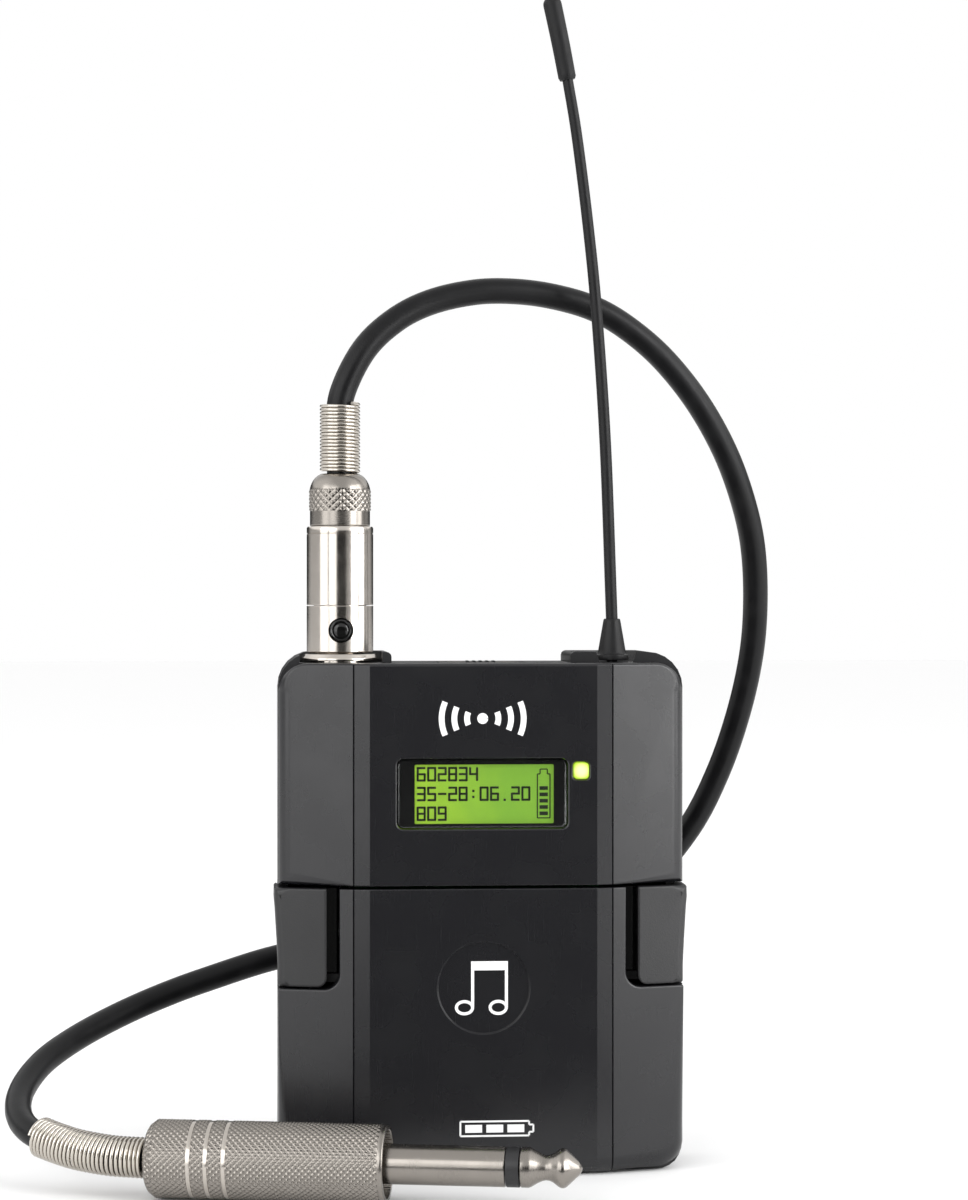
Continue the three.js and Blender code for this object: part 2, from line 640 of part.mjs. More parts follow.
// The cord leaves the plug upwards, arches over behind the antenna and down past the right side,
// crosses behind the case, and comes forward round the left side into the jack.
const CORD_RADIUS = 2.2;
const CORD_LINE = [
  [-23.4, 1, 110], [-23.4, 1, 117], [-23.4, 1, 124], [-23.1, 1, 130], [-19.4, 1.6, 137.6], [-14.1, 3, 142.8],
  [-7.9, 4.5, 146.1], [-0.2, 6, 148], [7, 7.4, 148.3], [14, 8.7, 147.5], [20.9, 10, 145.6],
  [27, 11.2, 142.2], [33.2, 12.6, 137.1], [39.3, 14.6, 130], [44.4, 17, 121.8], [48, 19.5, 113.4],
  [50.3, 22, 105], [51.2, 24.5, 95.4], [50.9, 27, 85.8], [49, 29.5, 75.3], [45.6, 31.6, 64.5],
  [40.6, 33, 54.4], [33, 33.9, 45.6], [22, 34.2, 39.4], [8, 33.9, 36.2], [-7, 33, 34.8],
  [-21, 31.5, 33.8], [-33.6, 29.2, 32.1], [-46, 26.7, 28.6], [-54, 24.2, 26], [-61.4, 20.4, 23.2],
  [-68.2, 14.8, 20.2], [-73.4, 8, 17.2], [-76.3, 0.8, 14], [-76.7, -5.8, 11.4], [-75, -11.4, 9.4],
  [-71.2, -15.8, 8], [-66, -19.3, 7], [-60.5, -22.2, 6.5], [-54.6, -24.1, 6.4], [-49.7, -25.14, 6.4],
];
const CORD_STEPS = 64;

// The jack's parts are turned about its own axis, from the cord end to the tip.
const JACK = { place: [-54.6, -24.1, 6.4], turn: -0.2094, barrel: 38.6, shaft: 3.175 };

function jackBarrel() {
  const { barrel } = JACK;
  const grooves = [7, 10.2, 13.2].flatMap((x) => [[6.25, x], [5.9, x + 0.6], [6.25, x + 1.2]]);
  const profile = [
    [2.6, 0], [5.2, 0], [6.1, 1.2], ...grooves, [6.25, barrel - 0.5], [6, barrel], [5.2, barrel],
    [5.2, 4], [2.6, 4], [2.6, 0],
  ];
  return turnedX(profile, [0, 0], 24);
}

function jackShaft() {
  const { barrel, shaft } = JACK;
  const profile = [[0, 30], [4.9, 30], [4.9, barrel - 1.4], [shaft, barrel - 1.4], [shaft, 57.4], [0, 57.4]];
  return turnedX(profile, [0, 0], 24);
}

function jackRing() {
  return turnedX(rod(JACK.shaft, 57.7, 59.6), [0, 0], 24);
}

function jackTip() {
  const profile = [
    [0, 59.9], [3.1, 59.9], [3.175, 61.2], [2.4, 62.6], [1.95, 63.8], [2.5, 65.2], [3.1, 66],
    [3.1, 66.9], [0.9, 69.2], [0, 69.5],
  ];
  return turnedX(profile, [0, 0], 24);
}

// The jack's spring bends with the cord, so it is a round tube along the cord's last points.
function jackSpring() {
  const line = [
    [-72.4, -14.7, 8.4], [-69.6, -16.9, 7.7], [-66, -19.3, 7], [-60.5, -22.2, 6.5], [-55.3, -23.95, 6.4],
  ];
  return cut(roundAlong(line, 3.3, 16, 10), roundAlong(CORD_LINE, CORD_RADIUS + GAP, 16, CORD_STEPS));
}

// ---- Assembly --------------------------------------------------------------------------------

addPiece(transmitter, "upper_front_cover", upperCover(), charcoal);
addPiece(transmitter, "battery_door", batteryDoor(), charcoal);
addPiece(transmitter, "rear_shell", rearShell(), charcoal);
addPiece(transmitter, "display_window", displayWindow(), clear);
addPiece(transmitter, "lcd_module", box([-14.2, 13.8], [-8, -4.7], [57.4, 69.5]), display);
addPiece(transmitter, "display_carrier", displayCarrier(), darkPlastic);
addPiece(transmitter, "led_lens", ledLens(), lamp);
addPiece(transmitter, "main_board", mainBoard(), circuit);
addPiece(transmitter, "radio_screen_can", box([-20, -2], [BOARD_Y + 1.9, 8.6], [52, 68]), steel);
addPiece(transmitter, "switch_body", switchBody(), steel);
addPiece(transmitter, "switch_plate", switchPlate(), darkPlastic);
addPiece(transmitter, "switch_knob", switchKnob(), darkPlastic);
addPiece(transmitter, "key_panel", keyPanel(), darkPlastic);
addPiece(transmitter, "key_switch_strip", keyStrip(), darkPlastic);
["menu_key_down", "menu_key_set", "menu_key_up"].forEach((name, i) => {
  addPiece(transmitter, name, menuKey((i - 1) * KEY_SPACING), rubber);
});
addPiece(transmitter, "battery_tray", batteryTray(), darkPlastic);
[["lower", 1, CELL.lower], ["upper", -1, CELL.upper]].forEach(([level, side, z]) => {
  addPiece(transmitter, `battery_cell_${level}`, batteryCell(side, z), cellWrap);
  addPiece(transmitter, `battery_spring_${level}`, batterySpring(-side, z), steel);
  addPiece(transmitter, `contact_plate_${level}`, contactPlate(side, z), gold);
});
SCREWS.forEach((screw, i) => {
  addPiece(transmitter, `case_screw_${i + 1}`, caseScrew(screw), steel);
});
addPiece(transmitter, "door_hinge_pin", hingeDisc(HINGE.pin, -18.2, 18.2), steel);
[["left", -1], ["right", 1]].forEach(([name, side]) => {
  addPiece(transmitter, `latch_tab_${name}`, latchTab(side), charcoal);
  addPiece(transmitter, `latch_spring_${name}`, latchSpring(side), steel);
});
addPiece(transmitter, "antenna_ferrule", antennaFerrule(), gold);
addPiece(transmitter, "antenna_boot", antennaBoot(), rubber);
addPiece(transmitter, "antenna_whip", roundAlong(WHIP_LINE, 1, 8, 20), rubber);
addPiece(transmitter, "antenna_tip_sleeve", tipSleeve(), rubber);
addPiece(transmitter, "belt_clip_pin", clipPin(), steel);
addPiece(transmitter, "belt_clip_spring", clipSpring(), steel);
addPiece(transmitter, "belt_clip", beltClip(), steel);

const socket = new THREE.Group();
socket.position.set(SOCKET_X, TOP_Y, 0);
transmitter.add(socket);
addPiece(socket, "socket_shell", socketShell(), nickel);
addPiece(socket, "socket_insert", socketInsert(), darkPlastic);
PIN_PLACES.forEach((place, i) => {
  addPiece(socket, `socket_pin_${i + 1}`, turnedZ(rod(0.45, 71, 81), place, 8), gold);
});
addPiece(socket, "plug_front_barrel", plugFrontBarrel(), nickel);
addPiece(socket, "plug_latch_button", plugLatchButton(), darkPlastic);
addPiece(socket, "plug_insert", plugInsert(), darkPlastic);
addPiece(socket, "plug_sleeve", plugSleeve(), nickel);
addPiece(socket, "plug_back_cap", plugBackCap(), nickel);
addPiece(socket, "plug_spring_relief", plugSpring(), nickel);

addPiece(transmitter, "guitar_cord", roundAlong(CORD_LINE, CORD_RADIUS, 8, CORD_STEPS), rubber);
addPiece(transmitter, "jack_spring_relief", jackSpring(), nickel);

const jack = new THREE.Group();
jack.position.set(...JACK.place);
jack.rotation.z = JACK.turn;
transmitter.add(jack);
addPiece(jack, "jack_barrel", jackBarrel(), nickel);
addPiece(jack, "jack_shaft", jackShaft(), nickel);
addPiece(jack, "jack_insulating_ring", jackRing(), darkPlastic);
addPiece(jack, "jack_tip", jackTip(), nickel);

export default transmitter;
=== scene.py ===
"""A wireless guitar transmitter with its whip antenna and its guitar lead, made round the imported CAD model.

Shapes are worked out in millimetres and turned into metres when a mesh or a curve is made. The display
faces -Y, the case stands on Z = 0, and +X is to the viewer's right.
"""

import json
import math

import bmesh
import bpy
from mathutils import Matrix, Vector
from mathutils.geometry import tessellate_polygon


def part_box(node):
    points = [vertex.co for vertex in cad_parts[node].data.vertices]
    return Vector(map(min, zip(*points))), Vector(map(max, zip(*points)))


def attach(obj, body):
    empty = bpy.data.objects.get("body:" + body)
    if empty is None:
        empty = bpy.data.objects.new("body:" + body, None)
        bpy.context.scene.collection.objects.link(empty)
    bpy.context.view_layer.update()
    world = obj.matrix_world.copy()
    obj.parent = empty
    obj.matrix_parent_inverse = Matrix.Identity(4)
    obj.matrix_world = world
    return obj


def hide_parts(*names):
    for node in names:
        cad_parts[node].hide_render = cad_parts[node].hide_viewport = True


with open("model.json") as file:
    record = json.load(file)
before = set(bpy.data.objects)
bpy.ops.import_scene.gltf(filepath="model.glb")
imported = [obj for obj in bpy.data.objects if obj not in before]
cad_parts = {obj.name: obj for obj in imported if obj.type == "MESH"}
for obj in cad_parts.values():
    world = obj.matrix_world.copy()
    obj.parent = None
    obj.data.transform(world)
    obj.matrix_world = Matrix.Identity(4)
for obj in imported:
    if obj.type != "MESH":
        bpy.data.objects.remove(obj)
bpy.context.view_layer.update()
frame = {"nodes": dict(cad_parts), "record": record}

MM = 0.001
TURN = 2 * math.pi
SAME_PLACE = 0.001 * MM  # points nearer than this are joined


def box_mm(node):
    """A CAD node's lowest and highest corners, in millimetres."""
    low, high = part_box(node)
    return low / MM, high / MM


# ---- Camera ----

CAMERA_PLACE = Vector((-39.33, -520, 96.29)) * MM
CAMERA_PAN = math.radians(4.42)  # towards +X
CAMERA_TILT = math.radians(-0.09)
FIELD_OF_VIEW = math.radians(21.98)  # from the picture's bottom edge to its top


def add_camera():
    camera = bpy.data.objects.new("camera", bpy.data.cameras.new("camera"))
    bpy.context.scene.collection.objects.link(camera)
    camera.location = CAMERA_PLACE
    camera.rotation_euler = (math.pi / 2 + CAMERA_TILT, 0, -CAMERA_PAN)
    camera.data.lens = camera.data.sensor_width / 2 / math.tan(FIELD_OF_VIEW / 2)
    camera.data.clip_start, camera.data.clip_end = 0.05, 20
    bpy.context.scene.camera = camera


# ---- Making pieces ----

BODY_OF = {node: body for body, nodes in frame["record"]["behaviour"]["bodies"].items() for node in nodes}


def claim(made, *nodes):
    """A piece stands for CAD nodes: it rides on the first one's body, and the nodes are hidden."""
    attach(made, BODY_OF[nodes[0]])
    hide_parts(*nodes)
    return made


def accompany(made, node):
    """A piece that belongs to a CAD node without standing for it: a print, a lining, a contact."""
    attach(made, BODY_OF[node])
    return made


def add_object(name, data, look, place=None):
    data.materials.append(look)
    made = bpy.data.objects.new(name, data)
    bpy.context.scene.collection.objects.link(made)
    if place is not None:
        made.matrix_world = place
    return made


def shade(mesh, sharp=35):
    """Smooth shading, but for edges sharper than that many degrees."""
    mesh.shade_smooth()
    mesh.set_sharp_from_angle(angle=math.radians(sharp))


def add_mesh(name, points, faces, look, place=None, sharp=35):
    """A mesh object from points in millimetres. Points on each other are joined, and faces turn outwards."""
    mesh = bpy.data.meshes.new(name)
    mesh.from_pydata([Vector(p) * MM for p in points], [], faces)
    work = bmesh.new()
    work.from_mesh(mesh)
    bmesh.ops.remove_doubles(work, verts=work.verts, dist=SAME_PLACE)
    bmesh.ops.dissolve_degenerate(work, edges=work.edges, dist=SAME_PLACE)
    bmesh.ops.recalc_face_normals(work, faces=work.faces)
    work.to_mesh(mesh)
    work.free()
    shade(mesh, sharp)
    return add_object(name, mesh, look, place)


def evened(made):
    """Large flat faces keep their own shading next to rounded edges."""
    made.modifiers.new("even", "WEIGHTED_NORMAL").keep_sharp = True
    return made


def add_wire(name, line, radius, look, radii=None, sides=3):
    """A round rod along a line of points. radii are shares of the radius, one for each point."""
    curve = bpy.data.curves.new(name, "CURVE")
    curve.dimensions = "3D"
    curve.bevel_depth = radius * MM
    curve.bevel_resolution = sides
    curve.use_fill_caps = True
    spline = curve.splines.new("POLY")
    spline.points.add(len(line) - 1)
    spline.use_smooth = True
    for point, p, share in zip(spline.points, line, radii or [1] * len(line)):
        point.co = (*(Vector(p) * MM), 1)
        point.radius = share
    return add_object(name, curve, look)


def ring_faces(rings, around, start=0):
    """The quads between neighbouring rings of the same size."""
    faces = []
    for r in range(rings - 1):
        low, high = start + r * around, start + (r + 1) * around
        for i in range(around):
            j = (i + 1) % around
            faces.append((low + i, low + j, high + j, high + i))
    return faces


def turned(name, profile, look, place, segments=96, swell=None, sharp=35):
    """A profile of (radius, height) turned about the placement's Z axis. swell(angle, height) is added to
    the radius where it isn't zero."""
    points = []
    for radius, height in profile:
        for i in range(segments):
            angle = TURN * i / segments
            r = radius + (swell(angle, height) if swell and radius else 0)
            points.append((r * math.cos(angle), r * math.sin(angle), height))
    made = add_mesh(name, points, ring_faces(len(profile), segments), look, place, sharp)
    return made if swell else evened(made)


def upright(x, y):
    return Matrix.Translation((x * MM, y * MM, 0))


def drill(made, place, radius, depth):
    """Cuts a round hole along the placement's Z axis."""
    profile = [(0, 0), (radius, 0), (radius, depth), (0, depth)]
    cutter = turned("cutter", profile, made.data.materials[0], place, 48)
    hole = made.modifiers.new("hole", "BOOLEAN")
    hole.object = cutter
    graph = bpy.context.evaluated_depsgraph_get()
    made.data = bpy.data.meshes.new_from_object(made.evaluated_get(graph))
    made.modifiers.clear()
    bpy.data.objects.remove(cutter)
    shade(made.data)
    return evened(made)


def eased(node, look, width=0.15):
    """A CAD node's own shape, with its sharp edges rounded."""
    work = bmesh.new()
    work.from_mesh(frame["nodes"][node].data)
    bmesh.ops.remove_doubles(work, verts=work.verts, dist=2 * SAME_PLACE)
    flat = math.radians(1)
    bmesh.ops.dissolve_limit(work, angle_limit=flat, verts=work.verts, edges=work.edges)
    sharp = [e for e in work.edges if e.is_manifold and e.calc_face_angle() > math.radians(32)]
    rounding = {"segments": 2, "profile": 0.5, "affect": "EDGES", "clamp_overlap": True}
    bmesh.ops.bevel(work, geom=sharp, offset=width * MM, **rounding)
    bmesh.ops.recalc_face_normals(work, faces=work.faces)
    mesh = bpy.data.meshes.new(node)
    work.to_mesh(mesh)
    work.free()
    shade(mesh)
    return claim(evened(add_object(node + "_finished", mesh, look)), node)


def smooth_line(points, per_span=8):
    """Points close together on the smooth curve through a few points."""
    points = [Vector(p) for p in points]
    ends = [2 * points[0] - points[1], *points, 2 * points[-1] - points[-2]]
    line = []
    for a, b, c, d in zip(ends, ends[1:], ends[2:], ends[3:]):
        for i in range(per_span):
            t = i / per_span
            bend = (2 * a - 5 * b + 4 * c - d) * t**2 + (3 * b - a - 3 * c + d) * t**3
            line.append((2 * b + (c - a) * t + bend) / 2)
    return [*line, points[-1]]


def length_of(line):
    return sum((b - a).length for a, b in zip(line, line[1:]))


def along(line, distance):
    """The point at that distance along a line of points, and the direction there."""
    for a, b in zip(line, line[1:]):
        step = (b - a).length
        if distance <= step:
            return a.lerp(b, distance / step), (b - a).normalized()
        distance -= step
    return line[-1], (line[-1] - line[-2]).normalized()


def coil(line, radius, turns, per_turn=20, end_radius=None):
    """A helix wound round a line of points, from one radius to another."""
    steps = round(turns * per_turn)
    length = length_of(line)
    points = []
    for i in range(steps + 1):
        centre, forward = along(line, length * i / steps)
        across = Vector((0.1, 0.2, 1)) if abs(forward.z) < 0.9 else Vector((1, 0, 0))
        side = forward.cross(across).normalized()
        up = side.cross(forward)
        angle = TURN * i / per_turn
        r = radius + ((end_radius or radius) - radius) * i / steps
        points.append(centre + r * (math.cos(angle) * side + math.sin(angle) * up))
    return points


# ---- Materials ----


class Look:
    """A material, with short calls that add nodes to it."""

    def __init__(self, name, base, roughness, **sockets):
        self.material = bpy.data.materials.new(name)
        self.material.use_nodes = True
        self.tree = self.material.node_tree
        self.shader = self.tree.nodes["Principled BSDF"]
        self.shader.inputs["Base Color"].default_value = (*base, 1)
        self.shader.inputs["Roughness"].default_value = roughness
        for socket, value in sockets.items():
            self.shader.inputs[socket.replace("_", " ")].default_value = value
        self.place = self.tree.nodes.new("ShaderNodeTexCoord").outputs["Object"]
        self.height = None

    def node(self, kind, settings=(), **inputs):
        made = self.tree.nodes.new("ShaderNode" + kind)
        for key, value in dict(settings).items():
            setattr(made, key, value)
        for socket, value in inputs.items():
            self.feed(made.inputs[socket.replace("_", " ")], value)
        return made

    def feed(self, socket, value):
        if isinstance(value, bpy.types.NodeSocket):
            self.tree.links.new(value, socket)
        else:
            socket.default_value = value

    def noise(self, size, detail=2.0, stretch=(1, 1, 1), rough=0.5):
        """Noise with features of about that many millimetres, stretched along the axes."""
        scaled = self.node("Mapping", Vector=self.place, Scale=[1 / (size * MM * s) for s in stretch])
        made = self.node("TexNoise", Vector=scaled.outputs[0], Scale=1.0, Detail=detail, Roughness=rough)
        return made.outputs["Fac"]

    def between(self, value, low, high, start, end):
        """A value's share between low and high, as a number from start to end."""
        made = self.node("MapRange", {"clamp": True})
        for socket, number in zip(made.inputs, (value, low, high, start, end)):
            self.feed(socket, number)
        return made.outputs[0]

    def maths(self, operation, a, b=0.0):
        made = self.node("Math", {"operation": operation})
        self.feed(made.inputs[0], a)
        self.feed(made.inputs[1], b)
        return made.outputs[0]

    def mixed(self, share, first, second):
        made = self.node("Mix", {"data_type": "RGBA"})
        self.feed(made.inputs["Factor"], share)
        for socket, colour in zip((made.inputs[6], made.inputs[7]), (first, second)):
            self.feed(socket, colour if isinstance(colour, bpy.types.NodeSocket) else (*colour, 1))
        return made.outputs[2]

    def axis(self, name):
        """One of the piece's own coordinates, in millimetres."""
        split = self.node("SeparateXYZ", Vector=self.place)
        return self.maths("DIVIDE", split.outputs[name], MM)

    def colour(self, value):
        self.tree.links.new(value, self.shader.inputs["Base Color"])

    def roughness(self, value):
        self.tree.links.new(value, self.shader.inputs["Roughness"])

    def bump(self, height, depth):
        """Adds relief: a height from 0 to 1 that stands for that many millimetres."""
        made = self.node("Bump", Height=height, Distance=depth * MM, Strength=1.0)
        if self.height is not None:
            self.tree.links.new(self.height, made.inputs["Normal"])
        self.height = made.outputs[0]
        self.tree.links.new(self.height, self.shader.inputs["Normal"])


def moulded(name, base, roughness, grain=0.25, depth=0.004, wear=0.5):
    """Moulded plastic: fine spark-eroded grain, faint rubbed patches, and hairline scuffs."""
    look = Look(name, base, roughness, Specular_IOR_Level=0.5)
    patches = look.noise(9, 4)
    scuffs = look.between(look.noise(1.2, 3, (0.12, 0.5, 6)), 0.66, 0.76, 0, wear)
    light = [c * 1.45 + 0.008 for c in base]
    tone = look.mixed(look.between(patches, 0.35, 0.65, 0, 0.35), base, [c * 0.82 for c in base])
    look.colour(look.mixed(look.maths("MULTIPLY", scuffs, 0.4), tone, light))
    rubbed = look.between(patches, 0.3, 0.7, roughness - 0.035, roughness + 0.035)
    look.roughness(look.maths("ADD", rubbed, look.maths("MULTIPLY", scuffs, 0.08)))
    look.bump(look.noise(grain, 3, rough=0.6), depth)
    return look.material


def plated(name, base, roughness, lines=(1, 1, 0.04), depth=0.0015):
    """Plated metal with fine turning marks round its own Z axis and faint finger marks."""
    look = Look(name, base, roughness, Metallic=1.0)
    marks = look.noise(1.5, 4, lines)
    smears = look.noise(4, 5)
    look.colour(look.mixed(look.between(smears, 0.3, 0.75, 0, 0.6), base, [c * 0.9 for c in base]))
    rubbed = look.between(smears, 0.3, 0.7, roughness * 0.8, roughness * 1.35)
    look.roughness(look.maths("ADD", rubbed, look.between(marks, 0.4, 0.7, 0, 0.06)))
    look.bump(marks, depth)
    return look.material


def rubbery(name, base, roughness, sheen=0.15, grain=0.35):
    """Dull rubber: fine pores, dust in soft patches, and a faint bloom at grazing angles."""
    look = Look(name, base, roughness, Sheen_Weight=sheen, Sheen_Roughness=0.4, Specular_IOR_Level=0.22)
    dust = look.between(look.noise(6, 5), 0.45, 0.8, 0, 0.5)
    look.colour(look.mixed(dust, base, [c * 1.5 + 0.004 for c in base]))
    look.roughness(look.between(look.noise(3, 4), 0.3, 0.7, roughness - 0.06, roughness + 0.06))
    look.bump(look.noise(grain, 4), 0.012)
    return look.material


def glowing_display():
    """The display's lit green, yellower towards its left, with the faint grid of its cells."""
    look = Look("display_green", (0.2, 0.42, 0.03), 0.35)
    share = look.between(look.axis("X"), -11, 4, 0, 1)
    uneven = look.maths("ADD", share, look.between(look.noise(3, 2), 0.3, 0.7, -0.12, 0.12))
    tone = look.mixed(uneven, (0.36, 0.60, 0.035), (0.225, 0.46, 0.04))
    cell_size = 0.24
    lines = [look.maths("FRACT", look.maths("DIVIDE", look.axis(name), cell_size)) for name in "XZ"]
    grid = look.maths("MAXIMUM", *[look.maths("GREATER_THAN", line, 0.86) for line in lines])
    lit = look.mixed(look.maths("MULTIPLY", grid, 0.12), tone, (0.1, 0.22, 0.02))
    look.colour(lit)
    look.tree.links.new(lit, look.shader.inputs["Emission Color"])
    look.shader.inputs["Emission Strength"].default_value = 0.5
    return look.material


def glowing_lamp():
    look = Look("lamp_green", (0.6, 0.8, 0.15), 0.25)
    low, high = box_mm("led_lens")
    away = [
        look.maths("POWER", look.maths("SUBTRACT", look.axis(name), (low[i] + high[i]) / 2), 2.0)
        for name, i in (("X", 0), ("Z", 2))
    ]
    edge = look.between(look.maths("ADD", *away), 0.2, 1.9, 0, 1)
    tone = look.mixed(edge, (0.6, 0.8, 0.25), (0.3, 0.45, 0.03))
    look.colour(tone)
    look.tree.links.new(tone, look.shader.inputs["Emission Color"])
    look.shader.inputs["Emission Strength"].default_value = 0.85
    return look.material


def window_glass():
    look = Look("window_clear", (0.94, 0.96, 0.95), 0.02, IOR=1.49, Transmission_Weight=1.0)
    look.roughness(look.between(look.noise(5, 4), 0.4, 0.8, 0.0, 0.03))
    return look.material


def circuit_board():
    """Green solder mask over copper tracks."""
    look = Look("board_green", (0.01, 0.07, 0.03), 0.35)
    tracks = look.node("TexBrick", {"offset": 0.35}, Vector=look.place, Scale=260.0, Mortar_Size=0.06)
    tracks.inputs["Color1"].default_value = (0.008, 0.06, 0.025, 1)
    tracks.inputs["Color2"].default_value = (0.01, 0.08, 0.03, 1)
    tracks.inputs["Mortar"].default_value = (0.03, 0.16, 0.06, 1)
    look.colour(tracks.outputs["Color"])
    look.bump(tracks.outputs["Fac"], 0.03)
    return look.material


def cell_wrap():
    """A cell's printed sleeve: dark, with a copper-coloured band at each end and a light ring beside it."""
    look = Look("cell_sleeve", (0.02, 0.03, 0.05), 0.3, Metallic=0.6, Coat_Weight=0.4)
    band_start, ring_middle, ring_half = 17.5, 16.4, 0.35
    from_middle = look.maths("ABSOLUTE", look.axis("X"))
    from_ring = look.maths("ABSOLUTE", look.maths("SUBTRACT", from_middle, ring_middle))
    band = look.maths("GREATER_THAN", from_middle, band_start)
    ring = look.maths("LESS_THAN", from_ring, ring_half)
    tone = look.mixed(band, (0.015, 0.02, 0.03), (0.55, 0.27, 0.1))
    tone = look.mixed(ring, tone, (0.7, 0.7, 0.68))
    look.colour(look.mixed(look.between(look.noise(2, 4), 0.5, 0.8, 0, 0.25), tone, (0.1, 0.1, 0.1)))
    look.bump(look.noise(0.4, 2), 0.004)
    return look.material


charcoal = moulded("charcoal_plastic", (0.008, 0.008, 0.0095), 0.27)
rear_charcoal = moulded("charcoal_rear", (0.008, 0.008, 0.009), 0.42, grain=0.4, depth=0.012)
tab_charcoal = moulded("charcoal_tab", (0.009, 0.009, 0.01), 0.42, grain=0.3, depth=0.02)
gloss_black = moulded("gloss_black", (0.004, 0.004, 0.004), 0.08, depth=0.0005, wear=0)
white_print = moulded("white_print", (0.8, 0.8, 0.8), 0.5, depth=0.002, wear=0)
dark_plastic = moulded("dark_plastic", (0.01, 0.01, 0.011), 0.45, grain=0.3, depth=0.01)
rubber = rubbery("antenna_rubber", (0.006, 0.006, 0.0065), 0.42, sheen=0.03)
grained_rubber = rubbery("antenna_tip_rubber", (0.007, 0.007, 0.0075), 0.5, sheen=0.05, grain=0.5)
cord_rubber = rubbery("cord_rubber", (0.0035, 0.0035, 0.004), 0.38, sheen=0.02)
nickel = plated("nickel", (0.54, 0.5, 0.455), 0.14)
dull_nickel = plated("nickel_dull", (0.29, 0.268, 0.243), 0.2)
spring_nickel = plated("nickel_spring", (0.58, 0.54, 0.485), 0.18)
steel = plated("zinc_steel", (0.56, 0.56, 0.58), 0.3, (1, 1, 1))
clip_steel = plated("blackened_steel", (0.05, 0.05, 0.053), 0.36, (0.3, 1, 0.05), 0.004)
gold = plated("gold_contact", (0.85, 0.62, 0.27), 0.2, (1, 1, 1))
display_green = glowing_display()
segment_ink = moulded("segment_ink", (0.012, 0.025, 0.006), 0.5, depth=0.001, wear=0)
lamp_green = glowing_lamp()
clear_window = window_glass()
board_green = circuit_board()
cell_sleeve = cell_wrap()


# ---- Guitar cord ----

CORD_ROUTE = [
    (-23.4, 1, 110), (-23.4, 1, 117), (-23.4, 1, 124), (-23.1, 1, 130), (-19.4, 1.6, 137.6),
    (-14.1, 3, 142.8), (-7.9, 4.5, 146.1), (-0.2, 6, 148), (7, 7.4, 148.3), (14, 8.7, 147.5),
    (20.9, 10, 145.6), (27, 11.2, 142.2), (33.2, 12.6, 137.1), (39.3, 14.6, 130), (44.4, 17, 121.8),
    (48, 19.5, 113.4), (50.3, 22, 105), (51.2, 24.5, 95.4), (50.9, 27, 85.8), (49, 29.5, 75.3),
    (45.6, 31.6, 64.5), (40.6, 33, 54.4), (33, 33.9, 45.6), (22, 34.2, 39.4), (8, 33.9, 36.2),
    (-7, 33, 34.8), (-21, 31.5, 33.8), (-33.6, 29.2, 32.1), (-46, 26.7, 28.6), (-54, 24.2, 26),
    (-61.4, 20.4, 23.2), (-68.2, 14.8, 20.2), (-73.4, 8, 17.2), (-76.3, 0.8, 14), (-76.7, -5.8, 11.4),
    (-75, -11.4, 9.4), (-71.2, -15.8, 8), (-66, -19.3, 7), (-60.5, -22.2, 6.5), (-54.6, -24.1, 6.4),
    (-49.7, -25.14, 6.4),
]
CORD_RADIUS = 2.2


def guitar_cord():
    """The cord from the plug, over behind the antenna, round the back of the case and into the jack."""
    line = smooth_line(CORD_ROUTE)
    cord = add_wire("guitar_cord_rubber", line, CORD_RADIUS, cord_rubber, sides=8)
    claim(cord, "guitar_cord")
    plug_pieces() + jack_pieces()


# ---- Knurls ----


class Knurl:
    """Diamond knurling round a cylinder, between two heights. Its grooves run along a mesh's diagonals."""

    POINTS = 8  # of the mesh, across one diamond

    def __init__(self, radius, around, depth, low, high):
        self.radius, self.around, self.depth, self.low = radius, around, depth, low
        self.size = TURN * radius / around
        self.rows = round((high - low) / self.size * self.POINTS)
        self.high = low + self.rows * self.size / self.POINTS
        self.segments = around * self.POINTS

    def profile(self):
        step = self.size / self.POINTS
        return [(self.radius, self.low + i * step) for i in range(self.rows + 1)]

    def swell(self, angle, height):
        if not self.low - 1e-6 <= height <= self.high + 1e-6:
            return 0
        u, v = self.around * angle / TURN, (height - self.low) / self.size
        grooves = [max(0, 1 - 2.4 * abs(turns % 1 - 0.5)) for turns in (u + v, u - v)]
        return -self.depth * max(grooves)


# ---- Mini plug ----

SOCKET_X, SOCKET_Y = -23.4, 1
SOCKET = upright(SOCKET_X, SOCKET_Y)
BUTTON_Z = 90.4
FACING_FRONT = Matrix.Rotation(math.pi / 2, 4, "X")


def plug_nose():
    profile = [
        (3.6, 77.6), (4.1, 77.6), (4.1, 86.7), (5.45, 86.7), (5.6, 86.85), (5.6, 94.42), (5.54, 94.5),
        (4.6, 94.5), (4.6, 87.7), (3.6, 86.6), (3.6, 77.6),
    ]
    nose = turned("plug_nose", profile, nickel, SOCKET)
    inside_the_wall = Matrix.Translation((0, -3 * MM, BUTTON_Z * MM))
    drill(nose, SOCKET @ inside_the_wall @ FACING_FRONT, 2.1, 6)
    return claim(nose, "plug_front_barrel")


def plug_button():
    """The latch button, a little domed, facing the front."""
    profile = [
        (0, 4.1), (1.85, 4.1), (1.85, 5.6), (1.75, 5.72), (1.6, 5.75), (1.5, 5.7), (1.42, 5.5), (1.3, 5.5),
        (1.2, 5.7), (1.05, 5.78), (0.6, 5.86), (0, 5.88),
    ]
    facing = SOCKET @ Matrix.Translation((0, 0, BUTTON_Z * MM)) @ FACING_FRONT
    return claim(turned("plug_button", profile, gloss_black, facing, 48), "plug_latch_button")


